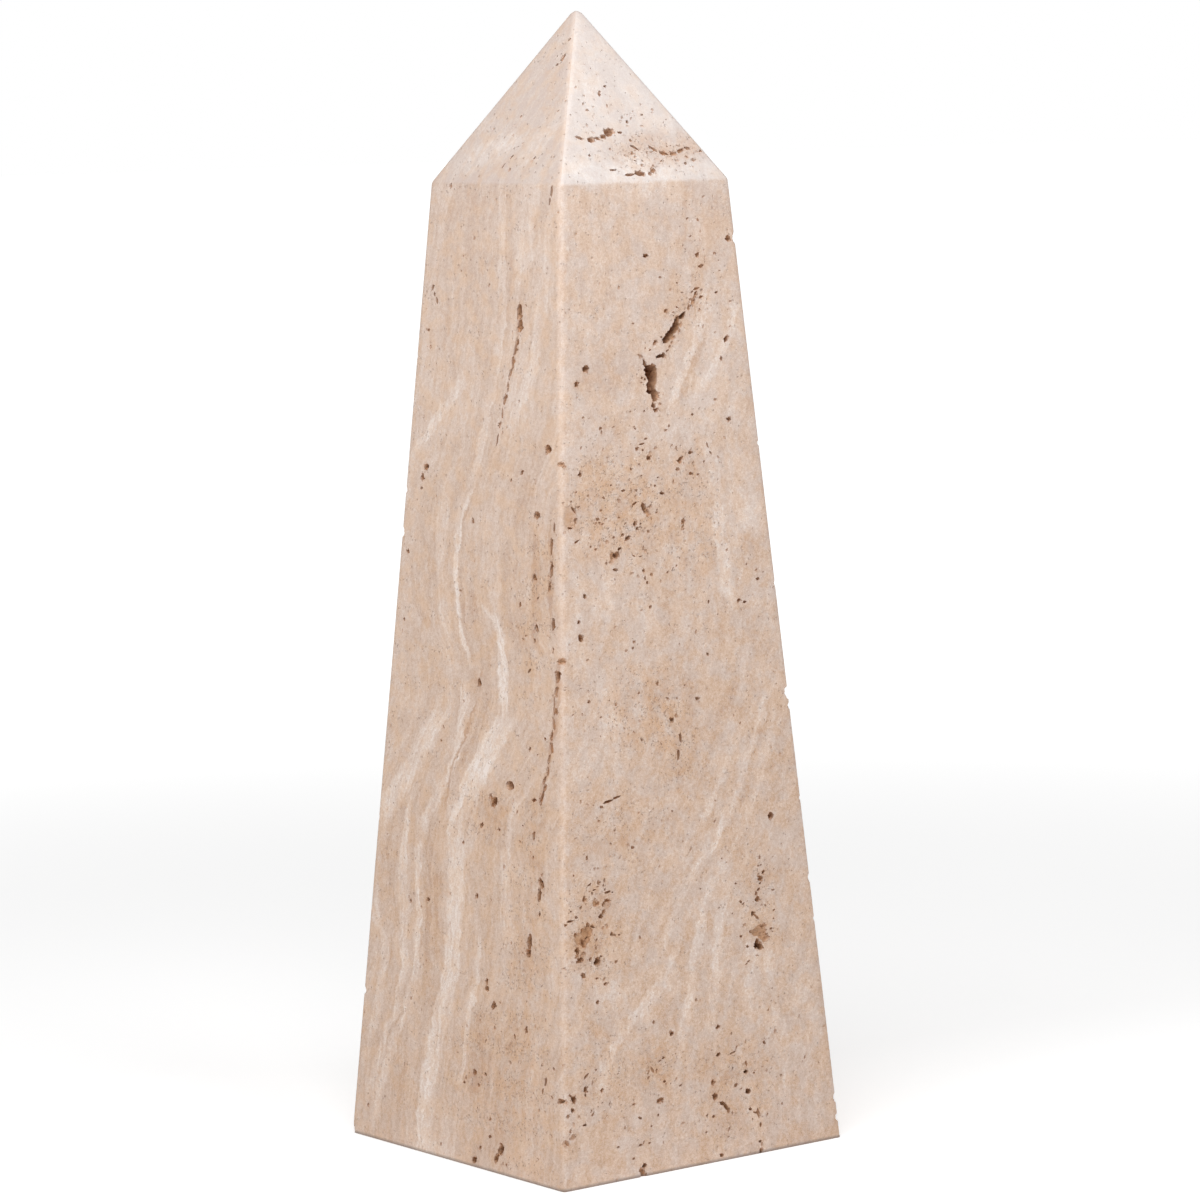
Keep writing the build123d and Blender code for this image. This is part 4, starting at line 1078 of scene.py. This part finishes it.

# %% [markdown]
# ### Colour
# Travertine is calcite laid down by spring water. The tone picks its main colour, from tan
# through pinkish cream to nearly white. Thin veils of other colours lie over that: a painted
# highlight of cool white that grows up the shaft and is strongest on the point's front face,
# ashen and sandy clouds, and iron stains where the stone is loose.
# The arrises are painted a touch paler, a painted highlight where the light catches their
# rounding, and a thin dark painted shade runs along the eased edge of the foot.

# %% From tone to colour
STONE_COLOURS = ((0.0, "#BA9780"), (0.2, "#C5A892"), (0.4, "#CFB5A3"), (0.6, "#D8C2B3"),
                 (0.8, "#E1D0C4"), (1.0, "#ECDFD7"))
ramp = add("ValToRGB", tone)
stops = ramp.node.color_ramp.elements
for number, (spot, code) in enumerate(STONE_COLOURS):
    stop = stops[number] if number < 2 else stops.new(spot)
    stop.position, stop.color = spot, linear(code)
# Painted highlight: a cool white veil that grows up the shaft and is strongest on the point, more on its front face
# where the light falls steeply, and weaker where the stone is loose.
painted_top_highlight = add("MapRange", up, 90.0, 258.0, 0.0, 0.15)
painted_top_highlight = add("Math", on_point, by_face(0.24, 0.42), painted_top_highlight, operation="MULTIPLY_ADD")
firm = add("Math", 1.0, loose, operation="SUBTRACT")
painted_top_highlight = add("Math", painted_top_highlight, firm, operation="MULTIPLY")
colour = add("MixRGB", painted_top_highlight, ramp, linear("#ECEBEC"))
tinge = clouds(4.5, 3.0, 9)
ashen = add("Math", add("MapRange", tinge, 0.46, 0.64, 0.0, 0.30), by_face(0.4, 1.0),
            operation="MULTIPLY")
colour = add("MixRGB", ashen, colour, linear("#CBC0BC"))
sandy = add("Math", add("MapRange", tinge, 0.34, 0.54, 0.28, 0.0), by_face(1.0, 0.7),
            operation="MULTIPLY")
colour = add("MixRGB", sandy, colour, linear("#DBB48E"))
stain = add("MapRange", clouds(3.5, 3.0, 8), 0.40, 0.62, 0.0, 0.55)
stain = add("Math", stain, loose, operation="MULTIPLY")
colour = add("MixRGB", stain, colour, linear("#CC9A6C"))
# Painted highlight: within about a millimetre of each arris and each hip of the point, the stone is painted paler,
# where the light catches the rounding.
painted_arris_highlight = add("Math", add("Math", x, operation="ABSOLUTE"), add("Math", y, operation="ABSOLUTE"),
          operation="SUBTRACT")
painted_arris_highlight = add("MapRange", add("Math", painted_arris_highlight, operation="ABSOLUTE"), 0.5, 1.2, 0.09, 0.0)
colour = add("MixRGB", painted_arris_highlight, colour, linear("#F1E2D6"))
# Painted shade: a thin dark grey line along the foot, where its eased edge meets the floor.
painted_foot_shade = add("MapRange", up, 0.4, 1.1, 0.75, 0.0)
colour = add("MixRGB", painted_foot_shade, colour, linear("#7A6C64"))
print("nodes so far:", len(tree.nodes))

# %% [markdown]
# ### Voids and surface
# Inside a void the stone is raw: tan where it is shallow, and painted dark brown deeper in, as
# a painted shade. Honed calcite is smooth but not polished. Its usual index of about 1.5 is the
# shader's own, a roughness of 0.55 spreads the light to a soft sheen, and it is no metal. A
# slight bump gives the eye the crystals and the lips of the fine pores.

# %% Darken the voids and set the surface
# The fine pores are painted dark brown: partly their own raw colour, partly a painted shade of the hole.
pore_colour_and_shade = add("Math", fine, 0.65, operation="MULTIPLY")
colour = add("MixRGB", pore_colour_and_shade, colour, linear("#A67650"))
depth = add("Attribute", attribute_name="depth").node.outputs["Fac"]
shallow = add("MapRange", depth, 0.04, 0.7, 0.0, 0.75)
colour = add("MixRGB", shallow, colour, linear("#BA8B63"))
# Painted shade: the deeper a point lies in a void, the darker brown it is painted.
deep = add("MapRange", depth, 0.8, 4.0, 0.0, 0.85)
colour = add("MixRGB", deep, colour, linear("#7A4525"))
tree.links.new(colour, surface.inputs["Base Color"])
surface.inputs["Roughness"].default_value = 0.55
grain = add("Math", clouds(0.6, 2.0, 6), 0.14, operation="MULTIPLY")
relief = add("Math", dips_and_painted_rims, -0.30, grain, operation="MULTIPLY_ADD")
bump = add("Bump", Strength=0.8, Height=relief, Distance=MM)
tree.links.new(bump, surface.inputs["Normal"])
print("nodes in the travertine:", len(tree.nodes))

# %% [markdown]
# ## The camera
# The photograph was taken with a long lens from about 1.3 metres away, at nearly the height of
# the tip. The camera's turn is built as a camera operator would set it: it faces the stone, then
# turns, tilts down and rolls a touch. The numbers were found by laying the block's own corners
# over their places in the photograph.

# %% Stand the camera
AZIMUTH, DISTANCE, CAMERA_UP = -38.004, 1282.79, 292.86
TILT_DOWN, TURN_RIGHT, ROLL = 6.4816, 0.1678, -0.926
LENS, SENSOR = 143.41, 36.0
eye = bpy.data.cameras.new("eye")
eye.lens, eye.sensor_width, eye.sensor_fit = LENS, SENSOR, "HORIZONTAL"
camera = bpy.data.objects.new("camera", eye)
bpy.context.scene.collection.objects.link(camera)
turn = (
    Euler((pi / 2, 0, radians(AZIMUTH))).to_matrix()
    @ Matrix.Rotation(-radians(TURN_RIGHT), 3, "Y")
    @ Matrix.Rotation(-radians(TILT_DOWN), 3, "X")
    @ Matrix.Rotation(radians(ROLL), 3, "Z")
)
stand = Vector((DISTANCE * sin(radians(AZIMUTH)), -DISTANCE * cos(radians(AZIMUTH)), CAMERA_UP))
camera.matrix_world = Matrix.Translation(stand * MM) @ turn.to_4x4()
bpy.context.scene.camera = camera
print("the camera stands at", [round(side, 3) for side in camera.matrix_world.translation], "m")

# %% [markdown]
# ## A white table and soft light
# The stone stands on white paper that is lit brighter away from it, so that the paper and what
# lies behind it go plain white, as in a product photograph. The paper is a plain plane. Its
# glow rises with the distance from the stone, which keeps the light on the stone gentle.

# %% Lay the white paper
bpy.ops.object.select_all(action="DESELECT")
bpy.ops.mesh.primitive_plane_add(size=20)
floor = bpy.context.object
floor.name = "floor"
floor.data.materials.append(bpy.data.materials.new("white paper"))
floor.data.materials[0].use_nodes = True
tree = floor.data.materials[0].node_tree
paper = tree.nodes["Principled BSDF"]
PAPER_GLOW, FAR_GLOW = 0.44, 0.9
place = add("TexCoord").node.outputs["Object"]
far = add("VectorMath", place, operation="LENGTH").node.outputs["Value"]
glow = add("MapRange", far, 0.3, 1.2, PAPER_GLOW, FAR_GLOW, interpolation_type="SMOOTHSTEP")
paper.inputs["Base Color"].default_value = linear("#F4F4F4")
paper.inputs["Roughness"].default_value = 0.9
paper.inputs["Emission Color"].default_value = linear("#FFFFFF")
tree.links.new(glow, paper.inputs["Emission Strength"])
print("the paper glows", PAPER_GLOW, "by the stone and", FAR_GLOW, "far from it")

# %% [markdown]
# The room gives a weak even light, yet it is seen as white behind the stone. The Light Path
# node tells the two apart: what is looked at directly is white, what lights the stone is dim.

# %% Fill the room with weak light
world = bpy.data.worlds.new("studio")
bpy.context.scene.world = world
world.use_nodes = True
tree = world.node_tree
room = tree.nodes["Background"]
room.inputs["Color"].default_value = linear("#FFFFFF")
ROOM_LIGHT = 0.25
looked_at = add("LightPath")
tree.links.new(add("MapRange", looked_at, 0.0, 1.0, ROOM_LIGHT, 1.0), room.inputs["Strength"])
print("room light", ROOM_LIGHT)

# %% [markdown]
# Three round softboxes hang above and before the stone: one by the camera, one to the right and
# one to the left. Their light rakes down the faces, which shows the voids. Each one is aimed at
# the middle of the shaft. Their strengths were matched to how bright each face should be.

# %% Hang the softboxes
def softbox(name, azimuth, height, distance, size, power):
    light = bpy.data.lights.new(name, "AREA")
    light.shape, light.size, light.energy = "DISK", size, power
    lamp = bpy.data.objects.new(name, light)
    bpy.context.scene.collection.objects.link(lamp)
    at = Vector((distance * sin(radians(azimuth)), -distance * cos(radians(azimuth)), height))
    lamp.location = at
    lamp.rotation_euler = (Vector((0, 0, 0.15)) - at).to_track_quat("-Z", "Y").to_euler()


softbox("front softbox", -40, 0.8, 0.55, 0.4, 2.64)
softbox("right softbox", 15, 0.85, 0.5, 0.4, 1.54)
softbox("left softbox", -75, 0.8, 0.6, 0.4, 2.29)
bpy.context.scene.view_settings.view_transform = "Standard"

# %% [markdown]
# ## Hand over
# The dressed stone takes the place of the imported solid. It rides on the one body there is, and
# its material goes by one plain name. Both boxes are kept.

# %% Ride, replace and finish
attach(stone, "root")
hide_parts(NODE)
